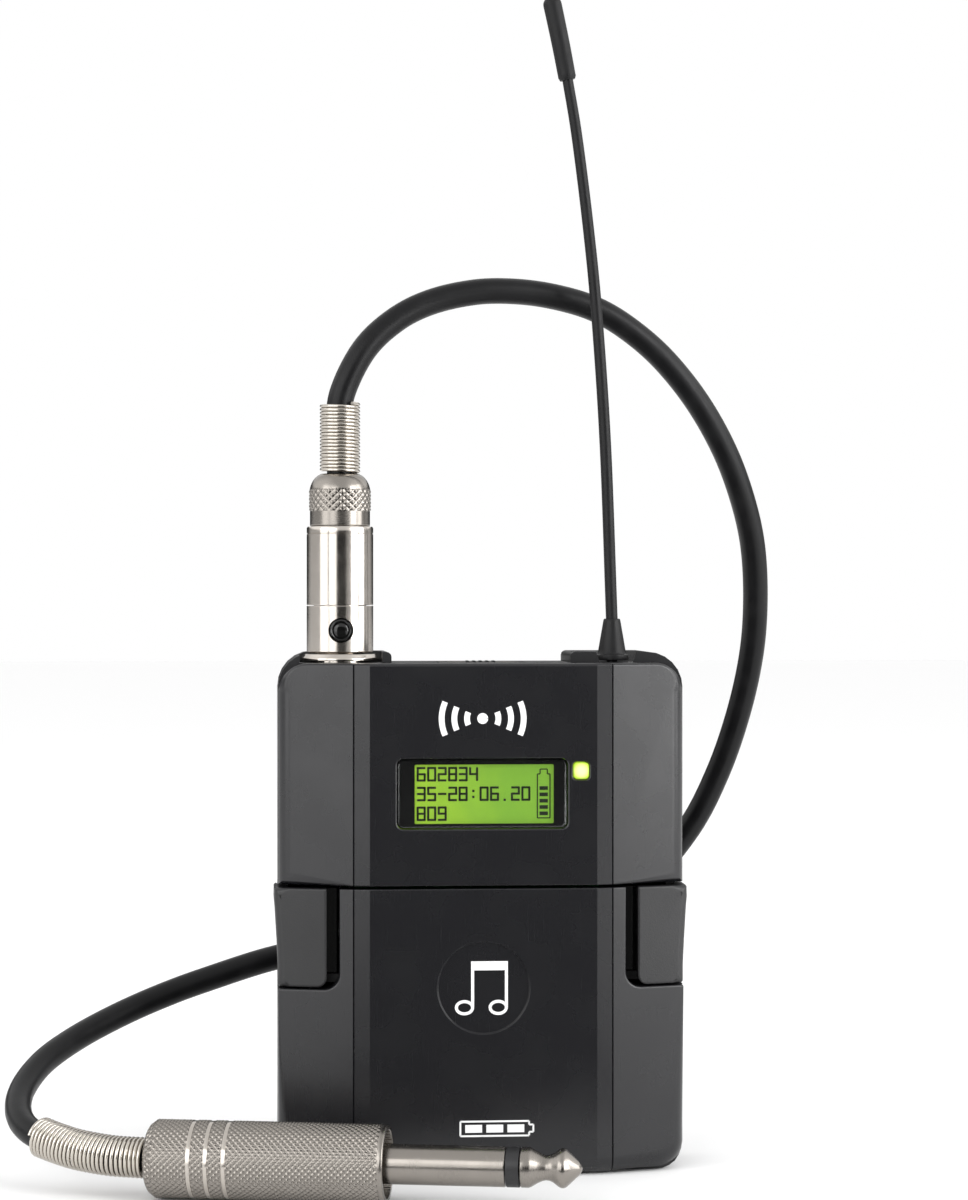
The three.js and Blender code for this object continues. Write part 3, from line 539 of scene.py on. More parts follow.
def plug_sleeve():
    """A plain sleeve with a fine turned line below its chamfered top."""
    profile = [
        (4.0, 94.0), (4.4, 94.0), (4.4, 94.6), (5.54, 94.6), (5.6, 94.68), (5.6, 106.5), (5.5, 106.56),
        (5.5, 106.66), (5.6, 106.72), (5.6, 107.55), (5.45, 107.8), (4.6, 107.8), (4.6, 95.2), (4.0, 95.2),
        (4.0, 94.0),
    ]
    return claim(turned("plug_sleeve_shell", profile, nickel, SOCKET), "plug_sleeve")


def plug_cap():
    band = Knurl(5.22, 27, 0.24, 110.6, 113.9)
    profile = [
        (2.6, 107.2), (4.45, 107.2), (4.45, 107.9), (4.98, 107.9), (5.05, 108), (5.05, 108.15),
        (5.05, 110.35), (5.05, 110.45), *band.profile(), (5.12, 114.0), (5.05, 114.3), (4.93, 114.75),
        (4.74, 115.2), (4.48, 115.65), (4.15, 116.05), (3.75, 116.4), (3.4, 116.6), (3.25, 116.7),
        (2.6, 116.7), (2.6, 107.2),
    ]
    cap = turned("plug_cap", profile, dull_nickel, SOCKET, band.segments, band.swell, sharp=60)
    return claim(cap, "plug_back_cap")


def plug_coil():
    """The spring that keeps the cord from kinking."""
    line = [Vector((SOCKET_X, SOCKET_Y, 117)), Vector((SOCKET_X, SOCKET_Y, 128.5))]
    spring = add_wire("plug_coil", coil(line, 3.12, 19.4, 28), 0.285, spring_nickel)
    return claim(spring, "plug_spring_relief")


def plug_pieces():
    made = [plug_nose(), plug_button(), plug_sleeve(), plug_cap(), plug_coil()]
    return [*made, eased("plug_insert", dark_plastic)]


# ---- Jack ----

JACK_PLACE = Vector((-54.6, -24.1, 6.4)) * MM
JACK_TURN = -0.2094  # radians about Z, from +X
ALONG_X = Matrix.Rotation(math.pi / 2, 4, "Y")
JACK = Matrix.Translation(JACK_PLACE) @ Matrix.Rotation(JACK_TURN, 4, "Z") @ ALONG_X
KNURLED = [(0.4, 7.1), (8, 9.9), (10.8, 12.8), (13.7, 37.5)]  # bands, from where to where along the barrel
RINGS = [7.18, 9.98, 12.88]  # where the polished rings start


def jack_handle():
    """The knurled barrel, with three polished grooves near its back and a smooth rim at its open front."""
    bands = [Knurl(6.25, 38, 0.26, low, high) for low, high in KNURLED]
    profile = [(2.6, 0), (4.8, 0), (5.05, 0.15)]
    for band in bands:
        profile += [(min(radius, 5.2 + 0.75 * x), x) for radius, x in band.profile()]
        if band is not bands[-1]:
            profile += [(6.02, band.high + 0.12), (6.02, band.high + 0.72)]
    profile += [(6.05, 37.7), (6.18, 37.85), (6.18, 38.45), (6.05, 38.6), (5.45, 38.6), (5.35, 38.4)]
    profile += [(5.35, 4), (2.6, 4), (2.6, 0)]

    def swell(angle, height):
        return sum(band.swell(angle, height) for band in bands)

    handle = turned("jack_handle", profile, dull_nickel, JACK, bands[0].segments, swell, sharp=60)
    return claim(handle, "jack_barrel")


def jack_rings():
    """The polished rings in the barrel's three grooves."""
    rings = []
    for number, start in enumerate(RINGS, 1):
        crown = [(6, 0), (6.12, 0.06), (6.14, 0.35), (6.12, 0.66), (6, 0.72), (6, 0)]
        profile = [(radius, start + x) for radius, x in crown]
        ring = turned(f"jack_ring_{number}", profile, nickel, JACK)
        rings.append(accompany(ring, "jack_barrel"))
    return rings


def jack_stem():
    profile = [
        (0, 30), (4.9, 30), (4.9, 34.6), (3.9, 34.8), (3.9, 36.6), (3.75, 36.8), (3.3, 36.8), (3.175, 37),
        (3.175, 57.25), (3.1, 57.4), (0, 57.4),
    ]
    return claim(turned("jack_stem", profile, dull_nickel, JACK, 64), "jack_shaft")


def jack_spacer():
    profile = [(0, 57.6), (3.1, 57.6), (3.16, 57.7), (3.16, 59.55), (3.1, 59.65), (0, 59.65)]
    return claim(turned("jack_spacer", profile, dark_plastic, JACK, 64), "jack_insulating_ring")


def jack_point():
    """The tip: a short collar, a waist, and a blunt cone."""
    profile = [
        (0, 59.85), (3.05, 59.85), (3.175, 60), (3.175, 61.1), (3.0, 61.5), (2.45, 62.4), (2.08, 63.2),
        (1.95, 63.8), (2.02, 64.4), (2.35, 65.05), (2.85, 65.7), (3.1, 66.15), (3.12, 66.6), (2.95, 67),
        (2.0, 68), (1.1, 68.95), (0.7, 69.25), (0.3, 69.45), (0, 69.5),
    ]
    return claim(turned("jack_point", profile, dull_nickel, JACK, 64), "jack_tip")


def jack_coil():
    route = [(-72.4, -14.7, 8.4), (-69.6, -16.9, 7.7), (-66, -19.3, 7), (-60.5, -22.2, 6.5)]
    route.append((-55.1, -23.98, 6.4))
    spring = add_wire("jack_coil", coil(smooth_line(route), 2.95, 27.5, 24), 0.33, spring_nickel)
    return claim(spring, "jack_spring_relief")


def jack_pieces():
    return [jack_handle(), *jack_rings(), jack_stem(), jack_spacer(), jack_point(), jack_coil()]


# ---- Case mouldings ----

HALF_WIDTH = 33.9
COVER_LOW, COVER_HIGH = box_mm("upper_front_cover")
DOOR_LOW, DOOR_HIGH = box_mm("battery_door")
FRONT = COVER_LOW.y
PARTING = COVER_HIGH.y
PANEL_HALF = 18.85  # half the width of the raised centre panel
GROOVE_START, GROOVE_END = 21.36, 21.64
BEVEL_DROP = 0.5
GROOVE_DEPTH = 0.22
FLANK_SLOPE = math.tan(math.radians(16))
HALF_BENDS = [PANEL_HALF, GROOVE_START, (GROOVE_START + GROOVE_END) / 2, GROOVE_END]
BENDS = [-x for x in HALF_BENDS] + HALF_BENDS  # where the face changes slope
SIDE_ROUND = 2.1
EDGE_ROUND = 0.5
SEAM_ROUND = 0.2
HINGE_ROUND = 3
HINGE_Y, HINGE_Z = -8, 3.2
HAIR = 0.01  # places nearer than this are the same
DIMPLE_POINTS = 64


def front_of(x):
    """How far forward the case's face is at a distance from its middle."""
    x = abs(x)
    if x <= GROOVE_START:
        return FRONT + BEVEL_DROP * max(0, x - PANEL_HALF) / (GROOVE_START - PANEL_HALF)
    flank = FRONT + BEVEL_DROP + (x - GROOVE_START) * FLANK_SLOPE
    return flank + GROOVE_DEPTH if x < GROOVE_END - HAIR else flank


def arc(x, z, radius, start, end, steps=10):
    """Points on an arc from one angle to another, in degrees."""
    angles = [math.radians(start + (end - start) * i / steps) for i in range(steps + 1)]
    return [(x + radius * math.cos(a), z + radius * math.sin(a)) for a in angles]


def rounded_rectangle(x, z, width, height, radius):
    dx, dz = width / 2 - radius, height / 2 - radius
    corners = [(dx, dz, 0), (-dx, dz, 90), (-dx, -dz, 180), (dx, -dz, 270)]
    return [p for cx, cz, a in corners for p in arc(x + cx, z + cz, radius, a, a + 90, 6)]


def level(from_x, to_x, z):
    """A level edge's points, with one wherever the case's face changes slope."""
    low, high = sorted((from_x, to_x))
    between = [x for x in BENDS if low + HAIR < x < high - HAIR]
    return [(x, z) for x in [from_x, *sorted(between, reverse=from_x > to_x), to_x]]


def inward(loop):
    """For each point of an anticlockwise loop, the step that moves its edges in by one."""
    steps = []
    for before, here, after in zip(loop[-1:] + loop[:-1], loop, loop[1:] + loop[:1]):
        a = (Vector(here) - Vector(before)).normalized()
        b = (Vector(after) - Vector(here)).normalized()
        across = Vector((-a.y - b.y, a.x + b.x)).normalized()
        steps.append(across / max(0.4, across.dot(Vector((-a.y, a.x)))))
    return steps


def offset(loop, moves, insets):
    return [(x + m.x * inset, z + m.y * inset) for (x, z), m, inset in zip(loop, moves, insets)]


def quarter(steps):
    """Shares across and along a quarter round, from its face to its side."""
    angles = [math.pi / 2 * (1 - i / steps) for i in range(steps + 1)]
    return [(1 - math.cos(a), 1 - math.sin(a)) for a in angles]


def filled(loops, points):
    """Triangles that fill the first loop, less the others. Loops are lists of point numbers."""
    rows = [[Vector((points[i][0], points[i][2], 0)) for i in loop] for loop in loops]
    numbers = [i for loop in loops for i in loop]
    return [tuple(numbers[i] for i in face) for face in tessellate_polygon(rows)]


def face_strips(numbers, holes, points):
    """Fills a loop in strips that end where the case's face changes slope. Holes are in the centre strip."""
    edges = [-2 * HALF_WIDTH, *sorted(BENDS), 2 * HALF_WIDTH]
    faces = []
    for low, high in zip(edges, edges[1:]):
        strip = [i for i in numbers if low - HAIR / 10 <= points[i][0] <= high + HAIR / 10]
        if len(strip) > 2:
            faces += filled([strip, *(holes if low < 0 < high else [])], points)
    return faces


def skin(loop, rounds, backs, wall):
    """A moulding's rings of points: round its edge, back along its side, and inside up behind its face."""
    moves = inward(loop)
    rings = []
    for across, deep in quarter(5):
        outline = offset(loop, moves, [r * across for r in rounds])
        rings.append([(x, front_of(x) + r * deep, z) for (x, z), r in zip(outline, rounds)])
    shoulder = rings[-1]
    for share in (0.25, 0.5, 0.75, 1):
        rings.append([(x, y + max(0, back - y) * share, z) for (x, y, z), back in zip(shoulder, backs)])
    inner = offset(loop, moves, [wall + (1.2 if r == HINGE_ROUND else 0) for r in rounds])
    rings.append([(x, max(back, front_of(x) + wall), z) for (x, z), back in zip(inner, backs)])
    rings.append([(x, front_of(x) + wall, z) for x, z in inner])
    return rings


def hole_rings(hole, wall):
    """The rings of a hole's edge, from its rounded lip to behind the face."""
    moves, lip = inward(hole), 0.25
    layers = [
        [(x, FRONT + lip * deep, z) for x, z in offset(hole, moves, [-lip * across] * len(hole))]
        for across, deep in quarter(3)
    ]
    return [*layers, [(x, FRONT + wall, z) for x, z in hole]]


def dimple_rings(z, profile):
    """The rings of a round hollow in the face, from pairs of a radius and a depth."""
    angles = [TURN * i / DIMPLE_POINTS for i in range(DIMPLE_POINTS)]
    return [[(r * math.cos(a), FRONT + deep, z + r * math.sin(a)) for a in angles] for r, deep in profile]


def moulding(name, loop, rounds, look, backs, wall, holes=(), dimple=()):
    """A moulded cover, hollow behind its face, which follows the case's. loop is its outline from the front,
    anticlockwise. At each point of it, rounds is the edge's radius, and backs how far back the side goes."""
    rings = skin(loop, rounds, backs, wall)
    points = [(x, y, above_hinge(y, z)) for ring in rings for x, y, z in ring]
    faces = ring_faces(len(rings), len(loop))
    outer_holes, inner_holes = [], []
    for layers in [*(hole_rings(hole, wall) for hole in holes), dimple]:
        if not layers:
            continue
        around = len(layers[0])
        outer_holes.append(range(len(points), len(points) + around))
        faces += ring_faces(len(layers), around, len(points))
        points += [p for layer in layers for p in layer]
        if layers is not dimple:
            inner_holes.append(range(len(points) - around, len(points)))
    last = (len(rings) - 1) * len(loop)
    faces += face_strips(range(len(loop)), outer_holes, points)
    faces += face_strips(range(last, last + len(loop)), inner_holes, points)
    made = add_mesh(name, points, faces, look, sharp=30)
    keep_bends(made.data)
    return evened(made)


def keep_bends(mesh):
    """The lines where the case's face changes slope stay crisp."""
    for edge in mesh.edges:
        a, b = (mesh.vertices[i].co / MM for i in edge.vertices)
        if any(abs(abs(a.x) - bend) < HAIR and abs(abs(b.x) - bend) < HAIR for bend in HALF_BENDS):
            edge.use_edge_sharp = True


def above_hinge(y, z):
    """The door's lower edge is round about its hinge, so that it swings clear of the battery tray."""
    behind = max(0, y - HINGE_Y)
    return max(z, HINGE_Z - math.sqrt(max(0, HINGE_ROUND**2 - behind**2)))


WINDOW = (-0.2, 63.45, 28.4, 11.7)
LAMP = (16.2, 67.2, 2.8, 3.0)


def front_cover():
    top, bottom, corner = COVER_HIGH.z, COVER_LOW.z, 5
    inner = HALF_WIDTH - corner
    loop = [
        *level(-HALF_WIDTH, HALF_WIDTH, bottom),
        *arc(inner, top - corner, corner, 0, 90),
        *level(inner, -inner, top)[1:-1],
        *arc(-inner, top - corner, corner, 90, 180),
    ]
    rounds = []
    for x, z in loop:
        side = min(1, max(0, (top - z) / corner))
        at_seam = z < bottom + HAIR and abs(x) < HALF_WIDTH - HAIR
        rounds.append(SEAM_ROUND if at_seam else EDGE_ROUND + (SIDE_ROUND - EDGE_ROUND) * side**1.5)
    holes = [rounded_rectangle(*WINDOW, 1.1), rounded_rectangle(*LAMP, 0.7)]
    backs = [PARTING] * len(loop)
    claim(moulding("front_cover", loop, rounds, charcoal, backs, 1.7, holes), "upper_front_cover")


TAB_LOW, TAB_HIGH = box_mm("latch_tab_right")
SLOT_X = 23.8  # the door's edge beside each tab
DISC_Z = 31.4
DISC = [(7.85, 0), (7.72, 0.05), (7.6, 0.22), (7.5, 0.33), (7.3, 0.35), (6.2, 0.35), (3, 0.31), (0, 0.3)]


def battery_door():
    top, bottom, corner, slot = DOOR_HIGH.z, DOOR_LOW.z, 4.5, TAB_LOW.z - 0.3
    inner = HALF_WIDTH - corner
    right = [
        *arc(inner, bottom + corner, corner, -90, 0),
        *arc(HALF_WIDTH - 0.4, slot - 0.4, 0.4, 0, 90, 3),
        *arc(SLOT_X + 2.6, slot + 2.6, 2.6, -90, -180, 8),
    ]
    left = [(-x, z) for x, z in reversed(right)]
    loop = [*right, *level(SLOT_X, -SLOT_X, top), *left]
    loop += level(-inner, inner, bottom)[1:-1]
    rounds = []
    for x, z in loop:
        if z > slot - 0.5:
            rounds.append(SEAM_ROUND if z > top - HAIR else 0.35)
        elif z < bottom + HAIR:
            rounds.append(HINGE_ROUND)
        else:
            side = min(1, max(0, (z - bottom) / corner))
            rounds.append(HINGE_ROUND - HAIR + (SIDE_ROUND - HINGE_ROUND) * side)
    backs = [PARTING] * len(loop)
    dimple = dimple_rings(DISC_Z, DISC)
    door = moulding("door_cover", loop, rounds, charcoal, backs, 0.9, dimple=dimple)
    claim(door, "battery_door")
    for side, name in ((-1, "left"), (1, "right")):
        points, faces = [], []
        for low, high in (((16.2, -9.9, 0.9), (18.4, -5.6, 5.6)), ((20.9, -9.6, 43.2), (22.1, -3.6, 45.6))):
            add_block(points, faces, (side * low[0], *low[1:]), (side * high[0], *high[1:]))
        accompany(add_mesh("door_ears_" + name, points, faces, charcoal), "battery_door")


def add_block(points, faces, low, high):
    """A block with its edges cut off a little, so that they catch the light."""
    cut = 0.15
    start = len(points)
    centre = (Vector(low) + Vector(high)) / 2
    half = [abs(h - l) / 2 for l, h in zip(low, high)]
    for axis in range(3):
        for end in (-1, 1):
            for a, b in ((-1, -1), (1, -1), (1, 1), (-1, 1)):
                reach = [half[i] - cut for i in range(3)]
                reach[axis] = half[axis]
                signs = [0, 0, 0]
                signs[axis], signs[(axis + 1) % 3], signs[(axis + 2) % 3] = end, a, b
                points.append(tuple(centre[i] + signs[i] * reach[i] for i in range(3)))
    work = bmesh.new()
    made = [work.verts.new(p) for p in points[start:]]
    work.verts.index_update()
    hull = bmesh.ops.convex_hull(work, input=made)
    for face in [g for g in hull["geom"] if isinstance(g, bmesh.types.BMFace)]:
        faces.append(tuple(start + v.index for v in face.verts))
    work.free()


def latch_tab(name, side):
    """A tab in the flank that goes round to the side, where it flares outwards towards its top."""
    low, high = TAB_LOW.z, TAB_HIGH.z
    inner, outer, flare = TAB_LOW.x, HALF_WIDTH, TAB_HIGH.x
    right = [
        *arc(inner + 1.6, low + 1.6, 1.6, 180, 270, 8),
        (32, low), (outer - 0.15, low), (outer, low + 0.3), (outer, low + 3),
        (outer + 0.2, low + 7), (flare - 0.15, high - 3.5), (flare, high - 2), (flare - 0.05, high - 0.3),
        (flare - 0.3, high), (32, high), (inner + 0.15, high), (inner, high - 0.15),
    ]
    rounds = [1.2 if x > outer - 0.2 else 0.35 for x, _ in right]
    backs = [TAB_HIGH.y if x > outer - 0.4 else front_of(x) + 1.9 for x, _ in right]
    if side < 0:
        right, rounds, backs = [(-x, z) for x, z in reversed(right)], rounds[::-1], backs[::-1]
    claim(moulding(f"latch_tab_{name}_cover", right, rounds, tab_charcoal, backs, 1.4), f"latch_tab_{name}")


def slot_lining(name, side):
    """The glossy black strip behind the slot between the door and a tab."""
    points, faces = [], []
    add_block(points, faces, (side * 24, -4.75, 33.3), (side * 27.2, -4.35, 47.6))
    accompany(add_mesh(f"slot_lining_{name}", points, faces, gloss_black), "key_panel")


# ---- Display and prints ----


def plate(name, outline, y, thickness, look, edge=0.12):
    """A thin plate that faces the front, from its outline, with a small bevel round its face."""
    moves = inward(outline)
    layers = [
        [(x, y, z) for x, z in offset(outline, moves, [edge] * len(outline))],
        [(x, y + edge, z) for x, z in outline],
        [(x, y + thickness, z) for x, z in outline],
    ]
    points = [p for layer in layers for p in layer]
    count = len(outline)
    faces = ring_faces(3, count)
    for start in (0, 2 * count):
        faces += filled([range(start, start + count)], points)
    return add_mesh(name, points, faces, look)


def stroke(points, faces, line, width, y, thickness=0.03):
    """Adds a line of even width, drawn on a surface that faces the front."""
    start = len(points)
    for i, (x, z) in enumerate(line):
        before, after = Vector(line[max(0, i - 1)]), Vector(line[min(len(line) - 1, i + 1)])
        ahead = (after - before).normalized()
        for side in (1, -1):
            for depth in (y, y + thickness):
                points.append((x - side * ahead.y * width / 2, depth, z + side * ahead.x * width / 2))
    for i in range(len(line) - 1):
        a, b = start + 4 * i, start + 4 * i + 4
        faces.extend([(a, b, b + 2, a + 2), (a + 1, a + 3, b + 3, b + 1)])
        faces.extend([(a, a + 1, b + 1, b), (a + 2, b + 2, b + 3, a + 3)])
    faces.append((start, start + 2, start + 3, start + 1))
    end = start + 4 * (len(line) - 1)
    faces.append((end, end + 1, end + 3, end + 2))


def stroke_sides(points, faces, outline, width, y):
    """Draws each side of an outline as a stroke of its own."""
    for a, b in zip(outline, outline[1:]):
        stroke(points, faces, [a, b], width, y)


def ring_line(x, z, radius, start=0, end=360, squash=1, steps=24):
    return [(px, z + (pz - z) * squash) for px, pz in arc(x, z, radius, start, end, steps)]


SEGMENTS = {  # the seven strokes of a digit, as points across and up its box
    "top": ((0, 2), (1, 2)), "middle": ((0, 1), (1, 1)), "bottom": ((0, 0), (1, 0)),
    "upper_left": ((0, 1), (0, 2)), "upper_right": ((1, 1), (1, 2)),
    "lower_left": ((0, 0), (0, 1)), "lower_right": ((1, 0), (1, 1)),
}
DIGITS = {
    "0": "top bottom upper_left upper_right lower_left lower_right",
    "1": "upper_right lower_right",
    "2": "top middle bottom upper_right lower_left",
    "3": "top middle bottom upper_right lower_right",
    "4": "middle upper_left upper_right lower_right",
    "5": "top middle bottom upper_left lower_right",
    "6": "top middle bottom upper_left lower_left lower_right",
    "7": "top upper_right lower_right",
    "8": "top middle bottom upper_left upper_right lower_left lower_right",
    "9": "top middle bottom upper_left upper_right lower_right",
    "-": "middle",
}
DOTS = {".": (0,), ":": (0.5, 1.5)}
ROWS = ["602834", "35-28:06.20", "809"]
DIGIT_WIDTH, DIGIT_HEIGHT, DIGIT_STEP, ROW_STEP, DIGIT_STROKE = 1.15, 2.05, 1.74, 3.27, 0.36
TEXT_LEFT, TEXT_TOP = -10.85, 67.65
DISPLAY = (-11.4, 58.45, 11.7, 68.25)
DISPLAY_Y = -8.9
INK_Y = DISPLAY_Y - 0.05


def display_digits():
    """Three rows of plain digits."""
    points, faces = [], []
    for row, text in enumerate(ROWS):
        bottom = TEXT_TOP - row * ROW_STEP - DIGIT_HEIGHT
        for column, sign in enumerate(text):
            left = TEXT_LEFT + column * DIGIT_STEP
            for height in DOTS.get(sign, ()):
                dot = [(left + 0.35, bottom + height), (left + 0.72, bottom + height)]
                stroke(points, faces, dot, 0.38, INK_Y)
            for name in DIGITS.get(sign, "").split():
                (x0, z0), (x1, z1) = SEGMENTS[name]
                reach, rise = (0.12, 0) if x0 != x1 else (0, 0.1)
                ends = [
                    (left + x0 * DIGIT_WIDTH - reach, bottom + z0 * DIGIT_HEIGHT / 2 - rise),
                    (left + x1 * DIGIT_WIDTH + reach, bottom + z1 * DIGIT_HEIGHT / 2 + rise),
                ]
                stroke(points, faces, ends, DIGIT_STROKE, INK_Y)
    accompany(add_mesh("display_digits", points, faces, segment_ink), "lcd_module")


def display_battery():
    """The battery sign at the display's right: an outline with a cap, and five bars."""
    points, faces = [], []
    left, right, low, high = 9.05, 11.15, 59.3, 66.6
    outline = [(left, low), (left, high), (left + 0.45, high), (left + 0.45, high + 0.8)]
    outline += [(right - 0.45, high + 0.8), (right - 0.45, high), (right, high), (right, low), (left, low)]
    stroke_sides(points, faces, outline, 0.2, INK_Y)
    for i in range(5):
        z = low + 0.75 + i * 1.05
        stroke(points, faces, [(left + 0.35, z), (right - 0.35, z)], 0.62, INK_Y)
    accompany(add_mesh("display_battery_sign", points, faces, segment_ink), "lcd_module")


def display_mask():
    """The black frame behind the window, round the part of the display that shows."""
    x0, z0, x1, z1 = DISPLAY
    outer = rounded_rectangle(WINDOW[0], WINDOW[1], WINDOW[2] - 0.1, WINDOW[3] - 0.1, 1.05)
    inner = rounded_rectangle((x0 + x1) / 2, (z0 + z1) / 2, x1 - x0, z1 - z0, 0.25)
    points, faces = [], []
    for y in (-9.75, -9.35):
        points += [(x, y, z) for x, z in outer] + [(x, y, z) for x, z in inner]
    n, m = len(outer), len(inner)
    for start in (0, n + m):
        faces += filled([range(start, start + n), range(start + n, start + n + m)], points)
    for start, count in ((0, n), (n, m)):
        for i in range(count):
            j = (i + 1) % count
            faces.append((start + i, start + j, start + j + n + m, start + i + n + m))
    accompany(add_mesh("display_mask", points, faces, gloss_black, sharp=20), "display_window")


def display_stack():
    """The display's cell with its ink, the mask over it, and the window's pane in front."""
    cell = [(-14.1, 57.5), (13.7, 57.5), (13.7, 69.4), (-14.1, 69.4)]
    claim(plate("display_cell", cell, DISPLAY_Y, 4.1, display_green), "lcd_module")
    display_digits()
    display_battery()
    display_mask()
    pane = rounded_rectangle(WINDOW[0], WINDOW[1], WINDOW[2] - 0.5, WINDOW[3] - 0.5, 0.9)
    claim(plate("display_pane", pane, -10.55, 0.7, clear_window, edge=0.2), "display_window")


def lamp():
    """The lamp's lens stands a little proud of the cover, with a soft edge."""
    x, z, width, height = LAMP
    outline = rounded_rectangle(x, z, width - 0.3, height - 0.3, 0.6)
    claim(plate("lamp_lens", outline, -11.1, 4, lamp_green, edge=0.3), "led_lens")


PRINT_Y = FRONT - 0.02
WAVES_X, WAVES_Z = -0.2, 75.9


def print_radio_waves():
    """A dot between three arcs on each side, above the display."""
    points, faces = [], []
    stroke(points, faces, ring_line(WAVES_X, WAVES_Z, 0.45), 0.9, PRINT_Y)
    for radius in (2.6, 4.7, 6.8):
        for middle in (0, 180):
            wave = ring_line(WAVES_X, WAVES_Z, radius, middle - 24, middle + 24, 1, 12)
            stroke(points, faces, wave, 0.95, PRINT_Y)
    accompany(add_mesh("print_radio_waves", points, faces, white_print), "upper_front_cover")


def print_notes():
    """A pair of notes on the floor of the door's disc."""
    points, faces = [], []
    y, head_z, beam_z, stem_x = FRONT + 0.27, DISC_Z - 3.3, DISC_Z + 3.6, 1.35
    for x in (-3.2, 2.4):
        stroke(points, faces, ring_line(x, head_z, stem_x, 0, 360, 0.75), 0.5, y)
        stroke(points, faces, [(x + stem_x, head_z), (x + stem_x, DISC_Z + 2.85)], 0.5, y - 0.01)
    stroke(points, faces, [(-2.1, beam_z), (4, beam_z)], 1.5, y)
    accompany(add_mesh("print_notes", points, faces, white_print), "battery_door")


def print_cell_sign():
    """A battery lying on its side, with three bars, near the door's lower edge."""
    points, faces = [], []
    left, right, low, high = -3.9, 7.5, 6.9, 9.3
    outline = [(left, low), (right, low), (right, low + 0.6), (right + 0.7, low + 0.6)]
    outline += [(right + 0.7, high - 0.6), (right, high - 0.6), (right, high), (left, high), (left, low)]
    stroke_sides(points, faces, outline, 0.3, PRINT_Y)
    for i in range(3):
        start = left + 0.8 + i * 3.5
        stroke(points, faces, [(start, (low + high) / 2), (start + 2.8, (low + high) / 2)], 1.3, PRINT_Y)
    accompany(add_mesh("print_cell_sign", points, faces, white_print), "battery_door")


# ---- Deck, antenna, back ----

ANTENNA_X = 22.7
ANTENNA = upright(ANTENNA_X, 1)
WHIP_ROUTE = [
    (22.7, 1, 91.9), (21.6, 1, 121.6), (20.1, 1, 144.2), (18.6, 1, 159.3), (16.7, 1, 174.3),
    (15.05, 1, 184.2),
]
SLEEVE_ROUTE = [(15.15, 1, 183.6), (14, 1, 189.6), (12.6, 1, 196.2), (12.25, 1, 197.75)]


def socket():
    """A bell-mouthed flange on the deck and the socket's tube below it."""
    profile = [
        (4.5, 71.5), (5, 71.5), (5, 85.3), (6.35, 85.3), (6.45, 85.42), (6.45, 85.7), (6.35, 85.85),
        (6.2, 86.0), (6.1, 86.25), (5.95, 86.4), (4.7, 86.4), (4.5, 86.3), (4.5, 71.5),
    ]
    claim(turned("socket_flange", profile, nickel, SOCKET), "socket_shell")


def antenna():
    """The tapered boot, the thin rod, and the sleeve over the rod's end, which is round at its tip."""
    profile = [
        (1.3, 85.3), (2.75, 85.3), (2.85, 85.4), (2.85, 86.0), (2.78, 86.2), (2.5, 86.3), (2.38, 86.5),
        (2.28, 87.2), (1.5, 91.7), (1.42, 92.1), (1.3, 92.3), (1.3, 85.3),
    ]
    claim(turned("antenna_boot_rubber", profile, rubber, ANTENNA, 64), "antenna_boot")
    whip = smooth_line(WHIP_ROUTE)
    taper = [1.06 - 0.1 * i / len(whip) for i in range(len(whip))]
    claim(add_wire("antenna_rod", whip, 0.95, rubber, taper, 6), "antenna_whip")
    sleeve = smooth_line(SLEEVE_ROUTE, 12)
    total, gone, shares, tip = length_of(sleeve), 0, [], 1.5
    for a, b in zip(sleeve, sleeve[1:] + sleeve[-1:]):
        left = total - gone
        round_end = math.sqrt(max(0, 1 - max(0, tip - left) ** 2 / tip**2))
        lip = min(1, 0.86 + gone * 0.6)
        shares.append(max(0.02, (0.97 + 0.05 * gone / total) * round_end * lip))
        gone += (b - a).length
    claim(add_wire("antenna_tip_cover", sleeve, 1.56, grained_rubber, shares, 8), "antenna_tip_sleeve")


def springs():
    """The battery springs, the latch springs and the belt clip's torsion spring, wound as real coils."""
    for level_name, side, z in (("lower", -1, 9.8), ("upper", 1, 24.4)):
        line = [Vector((side * 27.7, 0.9, z)), Vector((side * 25.9, 0.9, z))]
        spring = add_wire(f"battery_coil_{level_name}", coil(line, 4.3, 3, 24, 2.6), 0.3, steel)
        claim(spring, f"battery_spring_{level_name}")
    for name, side in (("left", -1), ("right", 1)):
        line = [Vector((side * 20.7, -0.6, 40)), Vector((side * 29.5, -0.6, 40))]
        claim(add_wire(f"latch_coil_{name}", coil(line, 1.5, 6), 0.22, steel), f"latch_spring_{name}")
    line = [Vector((-2.7, 14.2, 72)), Vector((2.7, 14.2, 72))]
    claim(add_wire("clip_coil", coil(line, 1.6, 6), 0.38, steel), "belt_clip_spring")


